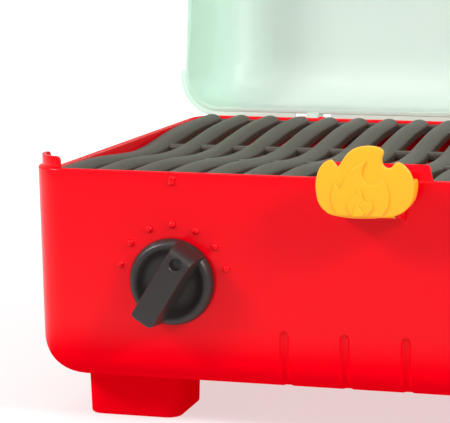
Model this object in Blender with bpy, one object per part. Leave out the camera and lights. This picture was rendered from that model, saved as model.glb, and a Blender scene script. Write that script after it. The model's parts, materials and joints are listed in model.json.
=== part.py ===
"""A toy barbecue grill: an open red tub on four feet, a sagging bar grate, a domed lid on two rear
hinges, a dial knob with its click works, and a flame shaped latch.

Lengths are in metres. X is to the right, Y to the back and Z up. The pieces are built in the frame of the
tub, whose middle is at X = Y = 0 and whose feet stand on Z = 0, and one empty then brings the bottom
centre of the whole toy, with the lid open, to the origin.
"""

import math

import bmesh
import bpy
from mathutils import Matrix, Vector

MM = 0.001

# General clearances and cutting
SEAT_GAP = 0.3 * MM
RUNNING_GAP = 0.3 * MM
OVERRUN = 1.0 * MM
EMBED = 0.6 * MM
ROUND_SIDES = 14
FINE_SIDES = 28

# Tub
TUB_WIDTH = 280.0 * MM
TUB_DEPTH = 215.0 * MM
TUB_HEIGHT = 84.5 * MM
TUB_WALL = 2.5 * MM
TUB_DRAFT = math.radians(0.7)
TUB_CORNER = 14.0 * MM
TUB_FLOOR_CORNER = 5.0 * MM
TUB_SIDE_FILLET = 17.0 * MM
TUB_FRONT_FILLET = 10.0 * MM
RIM_CHAMFER = 0.5 * MM
SIDE_RIM_DROP = 3.2 * MM
RIM_STEP_SETBACK = 4.0 * MM
RIM_STEP_RUN = 1.0 * MM
RIM_BAND = 3.0 * MM

# Vent grooves low on the front
GROOVE_COUNT = 4
GROOVE_PITCH = 24.0 * MM
GROOVE_WIDTH = 3.8 * MM
GROOVE_DEPTH = 0.9 * MM
GROOVE_SLOPE = 0.9 * MM
GROOVE_TOP_DROP = 60.5 * MM
GROOVE_FLOOR_RUN = 8.0 * MM

# Corner lips, the middle tab and the pips on the front rim
LIP_HEIGHT = 4.4 * MM
LIP_INSET = 1.6 * MM
LIP_THICKNESS = 1.5 * MM
LIP_START_ANGLE = math.radians(5)
LIP_TAIL = 3.5 * MM
LIP_STEPS = 7
LIP_END_SHARE = 0.6
TAB_BASE_WIDTH = 44.0 * MM
TAB_TOP_WIDTH = 40.9 * MM
TAB_HEIGHT = 5.9 * MM
TAB_INSET = 0.4 * MM
TAB_BEVEL_HEIGHT = 2.1 * MM
TAB_BEVEL_RUN = 0.9 * MM
PIP_HEIGHT = 4.3 * MM
PIP_RADIUS = 1.5 * MM
PIP_DROP = 3.3 * MM

# Feet
FOOT_WIDTH = 39.8 * MM
FOOT_DEPTH = 34.6 * MM
FOOT_HEIGHT = 19.2 * MM
FOOT_CORNER = 6.0 * MM
FOOT_DRAFT = math.radians(1.5)
FOOT_WALL = 2.2 * MM
FOOT_EDGE = 0.8 * MM
FOOT_SIDE_INSET = 15.8 * MM
FOOT_FRONT_INSET = 18.0 * MM
FOOT_BOSS_RADIUS = 4.4 * MM
FOOT_SCREW_SPACING = 19.0 * MM
FOOT_SCREW_SEAT = 6.0 * MM
FLOOR_BOSS_RADIUS = 4.0 * MM
FLOOR_BOSS_HEIGHT = 8.0 * MM
BLIND_END = 1.5 * MM

# Screws: one thread size for the case, one small size for the latch
SCREW_RADIUS = 1.2 * MM
SCREW_HEAD_RADIUS = 2.7 * MM
SCREW_HEAD_HEIGHT = 1.8 * MM
SMALL_SCREW_RADIUS = 0.8 * MM
SMALL_HEAD_RADIUS = 1.7 * MM
SMALL_HEAD_HEIGHT = 1.1 * MM
HEAD_WELL_GAP = 0.5 * MM

# Grate
GRATE_CLEARANCE = 1.0 * MM
BAR_WIDTH = 9.5 * MM
BAR_HEIGHT = 6.0 * MM
BAR_COUNT = 18
BAR_STEPS = 12
GRATE_END_DROP = 1.0 * MM
GRATE_SAG = 4.4 * MM
GRATE_SAG_REACH = 80.0 * MM
FRAME_WIDTH = 5.0 * MM
FRAME_LAP = 1.0 * MM
FRAME_HEIGHT = 7.0 * MM
FRAME_SINK = 2.4 * MM
FRAME_CHAMFER = 1.2 * MM
CROSSBAR_SPACING = 44.0 * MM
CROSSBAR_WIDTH = 6.0 * MM
CROSSBAR_SINK = 1.7 * MM
CROSSBAR_HEIGHT = 4.0 * MM
GRATE_SCREW_BAR = 3.5
GRATE_SCREW_INSET = 15.0 * MM
GRATE_BOSS_RADIUS = 4.0 * MM
GRATE_BOSS_DROP = 14.5 * MM
GRATE_BORE_ROOF = 2.5 * MM
POST_WALL = 1.6 * MM
POST_SEAT_DEPTH = 6.0 * MM
# The bar's section: shares of its half width across, and of its height down from the ridge
BAR_SECTION_SHARES = ((0.92, 1.0), (1.0, 0.45), (0.78, 0.14), (0.0, 0.0))

# Lid
LID_SIDE_GAP = 5.3 * MM
LID_END_GAP = 1.5 * MM
LID_WALL = 2.2 * MM
LID_HEIGHT = 56.0 * MM
LID_SKIRT_DROP = 5.0 * MM
LID_SKIRT_HEIGHT = 9.0 * MM
LID_DRAFT = math.radians(7)
LID_FILLET = 30.0 * MM
LID_FILLET_STEPS = 7
LID_CORNER = 18.0 * MM
LID_TOP_CORNER = 26.0 * MM
LID_OPEN_ANGLE = math.radians(97.6)
LID_FLANGE_WIDTH = 2.6 * MM
LID_FLANGE_HEIGHT = 2.0 * MM
LID_FLANGE_TAIL = 2.5 * MM
LID_FLANGE_LIFT = 0.3 * MM
CATCH_WIDTH = 16.0 * MM
CATCH_REACH = 1.7 * MM
CATCH_DROP = 0.5 * MM
CATCH_HEIGHT = 2.3 * MM
PAD_SPACING = 150.0 * MM
PAD_WIDTH = 12.0 * MM
PAD_REACH = 4.0 * MM
PAD_HEIGHT = 2.2 * MM

# Hinges
HINGE_SPACING = 160.0 * MM
HINGE_OFFSET = 8.5 * MM
HINGE_DROP = 6.0 * MM
HINGE_KNUCKLE_RADIUS = 3.4 * MM
HINGE_KNUCKLE_WIDTH = 6.0 * MM
HINGE_SIDE_GAP = 0.6 * MM
HINGE_EAR_WIDTH = 3.0 * MM
HINGE_PIN_RADIUS = 1.5 * MM
HINGE_PIN_HEAD_RADIUS = 2.6 * MM
HINGE_PIN_HEAD = 1.2 * MM
HINGE_EAR_RISE = 14.0 * MM
HINGE_BASE_WIDTH = 27.0 * MM
HINGE_BASE_THICKNESS = 2.5 * MM
HINGE_BASE_TOP_DROP = 9.0 * MM
HINGE_BASE_HEIGHT = 15.0 * MM
HINGE_SCREW_SPACING = 19.5 * MM
WALL_BOSS_RADIUS = 3.4 * MM
WALL_BOSS_LENGTH = 5.0 * MM

# Latch
LATCH_PIVOT_OUT = 5.7 * MM
LATCH_PIVOT_DROP = 11.2 * MM
LATCH_PIN_RADIUS = 1.2 * MM
LATCH_BARREL_RADIUS = 2.4 * MM
LATCH_BARREL_WIDTH = 18.4 * MM
BRACKET_WIDTH = 23.6 * MM
BRACKET_TOP_DROP = 7.5 * MM
BRACKET_BOTTOM_DROP = 15.3 * MM
BRACKET_BASE = 2.2 * MM
BRACKET_EAR_RADIUS = 2.8 * MM
BRACKET_SIDE_GAP = 0.4 * MM
BRACKET_SCREW_SPACING = 12.0 * MM
PIN_END_INSET = 0.3 * MM
FLAME_WIDTH = 37.2 * MM
FLAME_TOP_RISE = 14.3 * MM
FLAME_BOTTOM_DROP = 12.7 * MM
FLAME_SHIFT = -0.9 * MM
FLAME_THICKNESS = 2.7 * MM
FLAME_STEP = 0.4 * MM
LEVER_WEB = 3.0 * MM
LEVER_WEB_GAP = 0.5 * MM
LEVER_TOP_RISE = 1.5 * MM
LEVER_POCKET_GAP = 0.8 * MM
LEVER_INSET = 0.15 * MM
HOOK_WIDTH = 8.0 * MM
HOOK_GAP = 0.6 * MM
HOOK_HEIGHT = 2.0 * MM
HOOK_TIP_GAP = 0.5 * MM
LATCH_SCREW_SPACING = 12.0 * MM
LATCH_SCREW_DROP = 3.5 * MM
LATCH_SCREW_BITE = 1.5 * MM

# The flame outlines: shares of the plate's width from its middle, and of its height from its foot.
# The third value tells a pointed corner (1) from a smooth stretch (0).
FLAME_OUTLINE_SHARES = (
    (-0.276, 0.69, 1), (-0.19, 0.866, 0), (-0.139, 0.937, 0), (-0.076, 0.978, 0), (0.006, 1.0, 0),
    (0.082, 1.0, 0), (0.145, 0.98, 0), (0.183, 0.939, 0), (0.185, 0.891, 0), (0.173, 0.848, 0),
    (0.172, 0.791, 0), (0.186, 0.737, 0), (0.221, 0.707, 0), (0.253, 0.707, 0), (0.28, 0.732, 0),
    (0.305, 0.773, 0), (0.337, 0.788, 0), (0.382, 0.759, 0), (0.425, 0.705, 0), (0.463, 0.629, 0),
    (0.5, 0.468, 0), (0.485, 0.287, 0), (0.46, 0.209, 0), (0.419, 0.137, 0), (0.363, 0.083, 0),
    (0.287, 0.044, 0), (0.161, 0.018, 0), (0.0, 0.0, 0), (-0.17, 0.003, 0), (-0.336, 0.036, 0),
    (-0.4, 0.085, 0), (-0.451, 0.156, 0), (-0.483, 0.255, 0), (-0.5, 0.43, 0), (-0.488, 0.568, 0),
    (-0.464, 0.664, 0), (-0.426, 0.738, 0), (-0.385, 0.78, 0), (-0.349, 0.794, 0), (-0.321, 0.769, 0),
)
MIDDLE_FLAME_SHARES = (
    (-0.263, 0.035, 1), (-0.31, 0.136, 0), (-0.333, 0.248, 0), (-0.333, 0.352, 0), (-0.298, 0.478, 1),
    (-0.247, 0.391, 1), (-0.212, 0.505, 0), (-0.155, 0.628, 0), (-0.092, 0.718, 0), (0.024, 0.807, 1),
    (-0.021, 0.669, 0), (-0.018, 0.583, 0), (0.01, 0.516, 0), (0.048, 0.478, 0), (0.092, 0.466, 0),
    (0.136, 0.487, 0), (0.181, 0.55, 1), (0.225, 0.466, 0), (0.248, 0.381, 0), (0.253, 0.278, 0),
    (0.239, 0.173, 0), (0.182, 0.035, 1),
)
INNER_FLAME_SHARES = (
    (-0.11, 0.035, 1), (-0.148, 0.092, 0), (-0.165, 0.161, 0), (-0.152, 0.231, 0), (-0.081, 0.338, 0),
    (-0.051, 0.418, 1), (-0.021, 0.359, 0), (-0.012, 0.299, 0), (0.004, 0.251, 0), (0.036, 0.228, 0),
    (0.068, 0.263, 1), (0.087, 0.2, 0), (0.084, 0.139, 0), (0.024, 0.035, 1),
)
OUTLINE_STEPS = 2

# Knob and its click works
KNOB_X = -80.5 * MM
KNOB_DROP = 43.0 * MM
KNOB_RADIUS = 17.2 * MM
KNOB_BACK_RADIUS = 17.0 * MM
KNOB_RIM_RADIUS = 15.5 * MM
KNOB_WALL_GAP = 0.6 * MM
KNOB_WAIST = 0.8 * MM
KNOB_RIM_HEIGHT = 4.6 * MM
KNOB_RIM_WIDTH = 1.5 * MM
KNOB_POCKET_RADIUS = 12.0 * MM
KNOB_FLOOR = 2.2 * MM
KNOB_HEIGHT = 14.5 * MM
KNOB_BAR_WIDTH = 9.6 * MM
KNOB_BAR_BASE_WIDTH = 12.0 * MM
KNOB_BAR_REACH = 16.2 * MM
KNOB_BAR_SLOPE = 1.8 * MM
KNOB_BEVEL = 0.7 * MM
KNOB_DOT_RADIUS = 2.5 * MM
KNOB_DOT_DEPTH = 1.2 * MM
KNOB_DOT_OFFSET = 11.0 * MM
KNOB_POINTER_ANGLE = math.radians(58)
KNOB_SOCKET_DEPTH = 7.0 * MM
DOT_COUNT = 7
DOT_RING_RADIUS = 22.4 * MM
DOT_RADIUS = 1.6 * MM
DOT_SINK = 0.3 * MM
DOT_FIRST_ANGLE = math.radians(165)
DOT_STEP_ANGLE = math.radians(25)
SPINDLE_RADIUS = 3.2 * MM
SPINDLE_BORE_WALL = 1.7 * MM
BUSHING_RADIUS = 6.5 * MM
BUSHING_LENGTH = 3.0 * MM
WHEEL_RADIUS = 9.0 * MM
WHEEL_THICKNESS = 3.0 * MM
WHEEL_NOTCH = 0.8 * MM
WASHER_RADIUS = 5.5 * MM
WASHER_THICKNESS = 0.8 * MM
SPRING_THICKNESS = 0.8 * MM
SPRING_WIDTH = 2.6 * MM
SPRING_SPAN = 22.0 * MM
SPRING_RISE = 3.2 * MM
SPRING_TIP = 2.2 * MM
SPRING_BLOCK_WIDTH = 4.0 * MM
SPRING_BLOCK_HEIGHT = 4.0 * MM
SPRING_LIP = 0.8 * MM

# Heights and faces that follow from the sizes above
TUB_BOTTOM = FOOT_HEIGHT
RIM_Z = TUB_BOTTOM + TUB_HEIGHT
SIDE_RIM_Z = RIM_Z - SIDE_RIM_DROP
FLOOR_Z = TUB_BOTTOM + TUB_WALL
FRONT_Y = -TUB_DEPTH / 2
BACK_Y = TUB_DEPTH / 2
SCREW_BORE = SCREW_RADIUS + RUNNING_GAP
KNOB_Z = RIM_Z - KNOB_DROP
HINGE_Y = BACK_Y + HINGE_OFFSET
HINGE_Z = RIM_Z - HINGE_DROP
LATCH_Y = FRONT_Y - LATCH_PIVOT_OUT
LATCH_Z = RIM_Z - LATCH_PIVOT_DROP
LID_HALF_X = TUB_WIDTH / 2 + LID_SIDE_GAP + LID_WALL
LID_HALF_Y = TUB_DEPTH / 2 + LID_END_GAP + LID_WALL
LID_BOTTOM = RIM_Z - LID_SKIRT_DROP
GRATE_HALF_X = TUB_WIDTH / 2 - TUB_WALL - GRATE_CLEARANCE
BAR_PITCH = (2 * (GRATE_HALF_X - FRAME_WIDTH + FRAME_LAP) - BAR_WIDTH) / (BAR_COUNT - 1)
GRATE_SCREW_X = GRATE_SCREW_BAR * BAR_PITCH
GRATE_SCREW_Y = TUB_DEPTH / 2 - GRATE_SCREW_INSET
POST_TOP = RIM_Z - GRATE_BOSS_DROP - SEAT_GAP
POST_WELL_RADIUS = SCREW_HEAD_RADIUS + HEAD_WELL_GAP

SIDES = (("left", -1), ("right", 1))

COLOURS = {
    "red": ((0.80, 0.010, 0.012, 1.0), 0.34, 0.0),
    "charcoal": ((0.045, 0.040, 0.037, 1.0), 0.55, 0.0),
    "grate": ((0.060, 0.052, 0.046, 1.0), 0.50, 0.0),
    "mint": ((0.60, 0.86, 0.76, 0.6), 0.25, 0.0),
    "yellow": ((1.0, 0.56, 0.04, 1.0), 0.38, 0.0),
    "white": ((0.75, 0.74, 0.70, 1.0), 0.45, 0.0),
    "steel": ((0.58, 0.58, 0.60, 1.0), 0.28, 1.0),
}


# Scene and object helpers

def clear_scene():
    """Removes every object of the start-up scene."""
    for obj in list(bpy.data.objects):
        bpy.data.objects.remove(obj, do_unlink=True)


def make_material(name):
    """Returns a new Principled material with one of the listed colours."""
    colour, roughness, metallic = COLOURS[name]
    material = bpy.data.materials.new(name)
    material.use_nodes = True
    shader = material.node_tree.nodes["Principled BSDF"]
    shader.inputs["Base Color"].default_value = colour
    shader.inputs["Roughness"].default_value = roughness
    shader.inputs["Metallic"].default_value = metallic
    shader.inputs["Alpha"].default_value = colour[3]
    return material


def make_empty(name, location, parent=None):
    """Returns an empty at an assembly place."""
    empty = bpy.data.objects.new(name, None)
    bpy.context.scene.collection.objects.link(empty)
    empty.parent = parent
    empty.location = Vector(location) - origin_of(parent)
    return empty


def origin_of(parent):
    """Returns the assembly place that a parent's children are measured from."""
    if parent is None:
        return Vector((0, 0, 0))
    return Vector(parent["place"]) if "place" in parent else Vector((0, 0, 0))


def make_object(name, bm, colour=None, parent=None, sharp=35):
    """Turns a mesh in the assembly frame into an object under its parent."""
    bmesh.ops.recalc_face_normals(bm, faces=bm.faces)
    mesh = bpy.data.meshes.new(name)
    bmesh.ops.translate(bm, verts=bm.verts, vec=-origin_of(parent))
    bm.to_mesh(mesh)
    bm.free()
    mesh.shade_smooth()
    mesh.set_sharp_from_angle(angle=math.radians(sharp))
    obj = bpy.data.objects.new(name, mesh)
    bpy.context.scene.collection.objects.link(obj)
    obj.parent = parent
    if colour:
        mesh.materials.append(make_material(colour))
        mesh.materials[0].name = name + "_" + colour
    return obj


def boolean(obj, operation, bodies, label):
    """Adds one Boolean to an object, with all its bodies in one hidden cutter."""
    cutter = make_object(obj.name + "_" + label, joined(bodies), parent=obj.parent)
    cutter.hide_render = True
    cutter.display_type = "WIRE"
    modifier = obj.modifiers.new(label, "BOOLEAN")
    modifier.operation = operation
    modifier.solver = "EXACT"
    modifier.object = cutter
    return modifier


def joined(bodies):
    """Returns one mesh that holds several closed bodies, each facing outwards."""
    whole = bmesh.new()
    for body in bodies:
        bmesh.ops.recalc_face_normals(body, faces=body.faces)
        mesh = bpy.data.meshes.new("part")
        body.to_mesh(mesh)
        body.free()
        whole.from_mesh(mesh)
        bpy.data.meshes.remove(mesh)
    return whole


# Shape helpers

def loft(rings, closed_path=False):
    """Returns a body through closed rings of equal length, capped unless the path closes on itself."""
    bm = bmesh.new()
    loops = [[bm.verts.new(p) for p in ring] for ring in rings]
    pairs = list(zip(loops, loops[1:]))
    if closed_path:
        pairs.append((loops[-1], loops[0]))
    for low, high in pairs:
        for i in range(len(low)):
            j = (i + 1) % len(low)
            bm.faces.new((low[i], low[j], high[j], high[i]))
    if not closed_path:
        bm.faces.new(loops[0])
        bm.faces.new(loops[-1])
    return bm


def box(low, high):
    """Returns a box between two corners."""
    x0, y0, z0 = low
    x1, y1, z1 = high
    outline = [(x0, y0), (x1, y0), (x1, y1), (x0, y1)]
    return loft([[(x, y, z) for x, y in outline] for z in (z0, z1)])


def turned(profile, start, direction, sides=ROUND_SIDES):
    """Returns a body turned round an axis; the profile lists (distance along, radius) from end to end."""
    axis = Vector(direction).normalized()
    side = axis.orthogonal().normalized()
    other = axis.cross(side)
    rings = []
    for along, radius in profile:
        centre = Vector(start) + axis * along
        angles = [2 * math.pi * i / sides for i in range(sides)]
        rings.append([centre + (side * math.cos(a) + other * math.sin(a)) * radius for a in angles])
    return loft(rings)


def rod(start, end, radius, sides=ROUND_SIDES):
    """Returns a plain round rod between two points."""
    run = Vector(end) - Vector(start)
    return turned([(0, radius), (run.length, radius)], start, run, sides)


def screw(seat, direction, length, shank, head_radius, head_height):
    """Returns a pan head screw whose head stands on its seat; its shank runs along the direction."""
    dome = head_radius / 4
    profile = [
        (-head_height, head_radius - dome),
        (-head_height + dome, head_radius),
        (0, head_radius),
        (0, shank),
        (length - shank, shank),
        (length, shank / 2),
    ]
    return turned(profile, seat, direction)


def case_screw(seat, direction, length):
    """Returns one of the larger screws that hold the case together."""
    return screw(seat, direction, length, SCREW_RADIUS, SCREW_HEAD_RADIUS, SCREW_HEAD_HEIGHT)


def prism(outline, axis, low, high):
    """Extrudes a closed outline along X or Y; outline pairs are the other two coordinates in order."""
    def lift(point, depth):
        return (depth, point[0], point[1]) if axis == "X" else (point[0], depth, point[1])
    return loft([[lift(p, depth) for p in outline] for depth in (low, high)])


def arc(centre, radius, start, end, steps):
    """Returns points along an arc in a plane, angles in degrees."""
    points = []
    for i in range(steps + 1):
        angle = math.radians(start + (end - start) * i / steps)
        points.append((centre[0] + radius * math.cos(angle), centre[1] + radius * math.sin(angle)))
    return points


def rounded_rectangle(half_x, half_y, radius, steps):
    """Returns the plan outline of a rounded rectangle, with the corner's share of a turn for each point."""
    outline = []
    for corner, (sx, sy) in enumerate(((1, 1), (-1, 1), (-1, -1), (1, -1))):
        centre = (sx * (half_x - radius), sy * (half_y - radius))
        outline += arc(centre, radius, 90 * corner, 90 * corner + 90, steps)
    return outline


def smooth_outline(shares, width, height, foot):
    """Returns a closed outline through hand chosen shares, curved except at its pointed corners."""
    points = [Vector((x * width, foot + z * height)) for x, z, _ in shares]
    pointed = [bool(s[2]) for s in shares]
    count = len(points)
    outline = []
    for i in range(count):
        before, here, there, after = (points[(i + k) % count] for k in (-1, 0, 1, 2))
        leave = (there - here) if pointed[i] else (there - before) / 2
        arrive = (there - here) if pointed[(i + 1) % count] else (after - here) / 2
        for step in range(OUTLINE_STEPS):
            t = step / OUTLINE_STEPS
            blend = (2 * t**3 - 3 * t**2 + 1, t**3 - 2 * t**2 + t, 3 * t**2 - 2 * t**3, t**3 - t**2)
            outline.append(tuple(here * blend[0] + leave * blend[1] + there * blend[2] + arrive * blend[3]))
    return outline


# Tub

def lean(z):
    """Returns how far the drafted wall has come in at a height."""
    return (RIM_Z - z) * math.tan(TUB_DRAFT)


def tub_stations(half_x, half_y, radius, groove_half, depth):
    """Returns the plan points of one ring of the tub, each with how much it belongs to an end wall.

    The front run carries the groove points, and each side run the two points of the rim's step.
    """
    stations = []
    step_y = -half_y + radius + RIM_STEP_SETBACK
    corners = ((1, 1, 0), (-1, 1, 90), (-1, -1, 180), (1, -1, 270))
    for sx, sy, start in corners:
        centre = (sx * (half_x - radius), sy * (half_y - radius))
        for x, y in arc(centre, radius, start, start + 90, 6):
            angle = math.atan2(abs(y - centre[1]), abs(x - centre[0]))
            stations.append([x, y, math.sin(angle) ** 2, 0])
        if (sx, sy) == (-1, 1):
            stations.append([-half_x, step_y + RIM_STEP_RUN, 0, 0])
            stations.append([-half_x, step_y, 0, 0])
        if (sx, sy) == (-1, -1):
            for i in range(GROOVE_COUNT):
                middle = (i - (GROOVE_COUNT - 1) / 2) * GROOVE_PITCH
                inner = max(groove_half - GROOVE_SLOPE, groove_half / 2)
                for x, push in ((-groove_half, 0), (-inner, depth), (inner, depth), (groove_half, 0)):
                    stations.append([middle + x, -half_y, 1, push])
        if (sx, sy) == (1, -1):
            stations.append([half_x, step_y, 0, 0])
            stations.append([half_x, step_y + RIM_STEP_RUN, 0, 0])
    return stations


def tub_fillet_ring(turn, offset, groove):
    """Returns a ring on the bottom fillet; turn runs from 0 on the floor to 1 on the wall."""
    angle = turn * math.pi / 2
    wide = TUB_SIDE_FILLET - offset
    narrow = TUB_FRONT_FILLET - offset
    z0 = TUB_BOTTOM + offset
    half_x = TUB_WIDTH / 2 - lean(TUB_BOTTOM + TUB_SIDE_FILLET) - offset - wide * (1 - math.sin(angle))
    half_y = TUB_DEPTH / 2 - lean(TUB_BOTTOM + TUB_FRONT_FILLET) - offset - narrow * (1 - math.sin(angle))
    radius = TUB_FLOOR_CORNER + (TUB_CORNER - offset - TUB_FLOOR_CORNER) * math.sin(angle)
    ring = []
    for x, y, end, push in tub_stations(half_x, half_y, radius, GROOVE_WIDTH / 2, groove):
        reach = wide + (narrow - wide) * end
        z = z0 + reach * (1 - math.cos(angle))
        ring.append((x, y + push * math.sin(angle), z + push * math.cos(angle)))
    return ring


def tub_wall_ring(z, offset, groove_half, groove):
    """Returns a ring on the drafted walls at one height."""
    half_x = TUB_WIDTH / 2 - lean(z) - offset
    half_y = TUB_DEPTH / 2 - lean(z) - offset
    stations = tub_stations(half_x, half_y, TUB_CORNER - offset, groove_half, groove)
    return [(x, y + push, z) for x, y, _, push in stations]


def tub_rim_ring(offset, down):
    """Returns a ring on the rim, which is higher along the front than at the sides and back."""
    half_x = TUB_WIDTH / 2 - offset
    half_y = TUB_DEPTH / 2 - offset
    front_end = -TUB_DEPTH / 2 + TUB_CORNER + RIM_STEP_SETBACK + RIM_STEP_RUN / 2
    ring = []
    for x, y, _, _ in tub_stations(half_x, half_y, TUB_CORNER - offset, GROOVE_SLOPE, 0):
        ring.append((x, y, (RIM_Z if y < front_end else SIDE_RIM_Z) - down))
    return ring


def tub_shell():
    """Returns the tub's moulded box as one lofted shell."""
    groove_top = RIM_Z - GROOVE_TOP_DROP
    half = GROOVE_WIDTH / 2
    floor = tub_stations(
        TUB_WIDTH / 2 - TUB_SIDE_FILLET - GROOVE_FLOOR_RUN,
        TUB_DEPTH / 2 - TUB_FRONT_FILLET - GROOVE_FLOOR_RUN,
        TUB_FLOOR_CORNER, half, 0)
    rings = [[(x, y, TUB_BOTTOM) for x, y, _, _ in floor]]
    rings += [tub_fillet_ring(i / 5, 0, GROOVE_DEPTH) for i in range(6)]
    rings += [
        tub_wall_ring(groove_top - half, 0, half, GROOVE_DEPTH),
        tub_wall_ring(groove_top - half * (1 - math.sin(math.radians(60))), 0,
                      half * math.cos(math.radians(60)) + GROOVE_SLOPE / 2, GROOVE_DEPTH),
        tub_wall_ring(groove_top, 0, GROOVE_SLOPE, 0),
        tub_wall_ring(SIDE_RIM_Z - RIM_BAND, 0, GROOVE_SLOPE, 0),
        tub_rim_ring(0, RIM_CHAMFER),
        tub_rim_ring(RIM_CHAMFER, 0),
        tub_rim_ring(TUB_WALL - RIM_CHAMFER, 0),
        tub_rim_ring(TUB_WALL, RIM_CHAMFER),
        tub_wall_ring(SIDE_RIM_Z - RIM_BAND, TUB_WALL, GROOVE_SLOPE, 0),
    ]
    rings += [tub_fillet_ring(i / 4, TUB_WALL, 0) for i in range(4, -1, -1)]
    return loft(rings)


def corner_lip(side):
    """Returns the raised arc that stands on one front corner of the rim."""
    base = RIM_Z - EMBED
    outer = TUB_CORNER - LIP_INSET
    inner = outer - LIP_THICKNESS
    centre_x = side * (TUB_WIDTH / 2 - TUB_CORNER)
    centre_y = FRONT_Y + TUB_CORNER
    rings = []
    for i in range(LIP_STEPS + 1):
        angle = LIP_START_ANGLE + (math.pi / 2 - LIP_START_ANGLE) * i / LIP_STEPS
        out_x, out_y = side * math.sin(angle), -math.cos(angle)
        height = LIP_HEIGHT * (LIP_END_SHARE if i == 0 else 1)
        rings.append(lip_ring(centre_x, centre_y, out_x, out_y, inner, outer, base, height))
    for run, share in ((LIP_TAIL * 0.6, 1), (LIP_TAIL, LIP_END_SHARE)):
        rings.append(lip_ring(centre_x, centre_y + run, side, 0, inner, outer, base, LIP_HEIGHT * share))
    return loft(rings)


def lip_ring(centre_x, centre_y, out_x, out_y, inner, outer, base, height):
    """Returns the four corners of a lip's section."""
    top = RIM_Z + height
    return [
        (centre_x + out_x * outer, centre_y + out_y * outer, base),
        (centre_x + out_x * outer, centre_y + out_y * outer, top - RIM_CHAMFER),
        (centre_x + out_x * (outer - RIM_CHAMFER), centre_y + out_y * (outer - RIM_CHAMFER), top),
        (centre_x + out_x * inner, centre_y + out_y * inner, top),
        (centre_x + out_x * inner, centre_y + out_y * inner, base),
    ]


def middle_tab():
    """Returns the tab that stands on the middle of the front rim and leads the lid in."""
    front = FRONT_Y + TAB_INSET
    back = FRONT_Y + TUB_WALL - TAB_INSET
    base = RIM_Z - RIM_BAND
    top = RIM_Z + TAB_HEIGHT
    bevel = top - TAB_BEVEL_HEIGHT
    narrowing = (TAB_BASE_WIDTH - TAB_TOP_WIDTH) / 2
    bevel_half = TAB_BASE_WIDTH / 2 - narrowing * (1 - TAB_BEVEL_HEIGHT / TAB_HEIGHT)
    rows = (
        (base, TAB_BASE_WIDTH / 2, front),
        (RIM_Z, TAB_BASE_WIDTH / 2, front),
        (bevel, bevel_half, front),
        (top, TAB_TOP_WIDTH / 2, front + TAB_BEVEL_RUN),
    )
    return loft([[(-h, f, z), (h, f, z), (h, back, z), (-h, back, z)] for z, h, f in rows])


def wall_front(z):
    """Returns the outer Y of the front wall at a height."""
    return FRONT_Y + lean(z)


def round_pip(x, z, radius, sink, squash=1):
    """Returns a ball head that stands out of the front wall."""
    bm = bmesh.new()
    bmesh.ops.create_uvsphere(bm, u_segments=10, v_segments=6, radius=radius)
    bmesh.ops.scale(bm, vec=(1, 1, squash), verts=bm.verts)
    bmesh.ops.translate(bm, verts=bm.verts, vec=(x, wall_front(z) + sink, z))
    return bm


def dial_dots():
    """Returns the raised dots round the knob."""
    dots = []
    for i in range(DOT_COUNT):
        angle = DOT_FIRST_ANGLE - i * DOT_STEP_ANGLE
        x = KNOB_X + DOT_RING_RADIUS * math.cos(angle)
        z = KNOB_Z + DOT_RING_RADIUS * math.sin(angle)
        dots.append(round_pip(x, z, DOT_RADIUS, DOT_SINK))
    return dots


def foot_centres():
    """Returns the name and plan place of each foot."""
    x = TUB_WIDTH / 2 - FOOT_SIDE_INSET - FOOT_WIDTH / 2
    y = TUB_DEPTH / 2 - FOOT_FRONT_INSET - FOOT_DEPTH / 2
    return {
        "foot_front_left": (-x, -y),
        "foot_front_right": (x, -y),
        "foot_rear_left": (-x, y),
        "foot_rear_right": (x, y),
    }


def foot_screw_places():
    """Returns the name and plan place of each foot screw."""
    half = FOOT_SCREW_SPACING / 2
    return {
        name.replace("foot", "foot_screw") + "_" + place: (x + out * math.copysign(half, x), y)
        for name, (x, y) in foot_centres().items() for place, out in (("inner", -1), ("outer", 1))
    }


def grate_screw_places():
    """Returns the name and plan place of each grate screw."""
    return {
        f"grate_screw_{end}_{name}": (side * GRATE_SCREW_X, way * GRATE_SCREW_Y)
        for end, way in (("front", -1), ("rear", 1)) for name, side in SIDES
    }


def hinge_screw_places():
    """Returns the name and the X and Z of each hinge bracket screw."""
    z = RIM_Z - HINGE_BASE_TOP_DROP - HINGE_BASE_HEIGHT / 2
    half = HINGE_SCREW_SPACING / 2
    return {
        f"hinge_screw_{hinge}_{place}": (side * (HINGE_SPACING / 2 + out * half), z)
        for hinge, side in SIDES for place, out in (("inner", -1), ("outer", 1))
    }


def spring_top():
    """Returns the underside height of the click spring's two ends."""
    return KNOB_Z + WHEEL_RADIUS + RUNNING_GAP + SPRING_RISE


def spring_block(side):
    """Returns one of the two slotted blocks behind the front wall that hold the click spring."""
    z = spring_top()
    y0 = wall_front(z) + TUB_WALL - EMBED
    y1 = spring_front() + SPRING_WIDTH
    x0 = KNOB_X + side * (SPRING_SPAN / 2 - SPRING_LIP)
    x1 = x0 + side * SPRING_BLOCK_WIDTH
    low = (min(x0, x1), y0, z - RUNNING_GAP - SPRING_BLOCK_HEIGHT)
    return box(low, (max(x0, x1), y1, z - RUNNING_GAP))


def spring_front():
    """Returns the Y of the click spring's front edge, in line with the click wheel."""
    return wheel_front() + (WHEEL_THICKNESS - SPRING_WIDTH) / 2


def wheel_front():
    """Returns the Y of the click wheel's front face, behind the bushing."""
    return wall_front(KNOB_Z) + TUB_WALL + BUSHING_LENGTH + RUNNING_GAP


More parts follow.
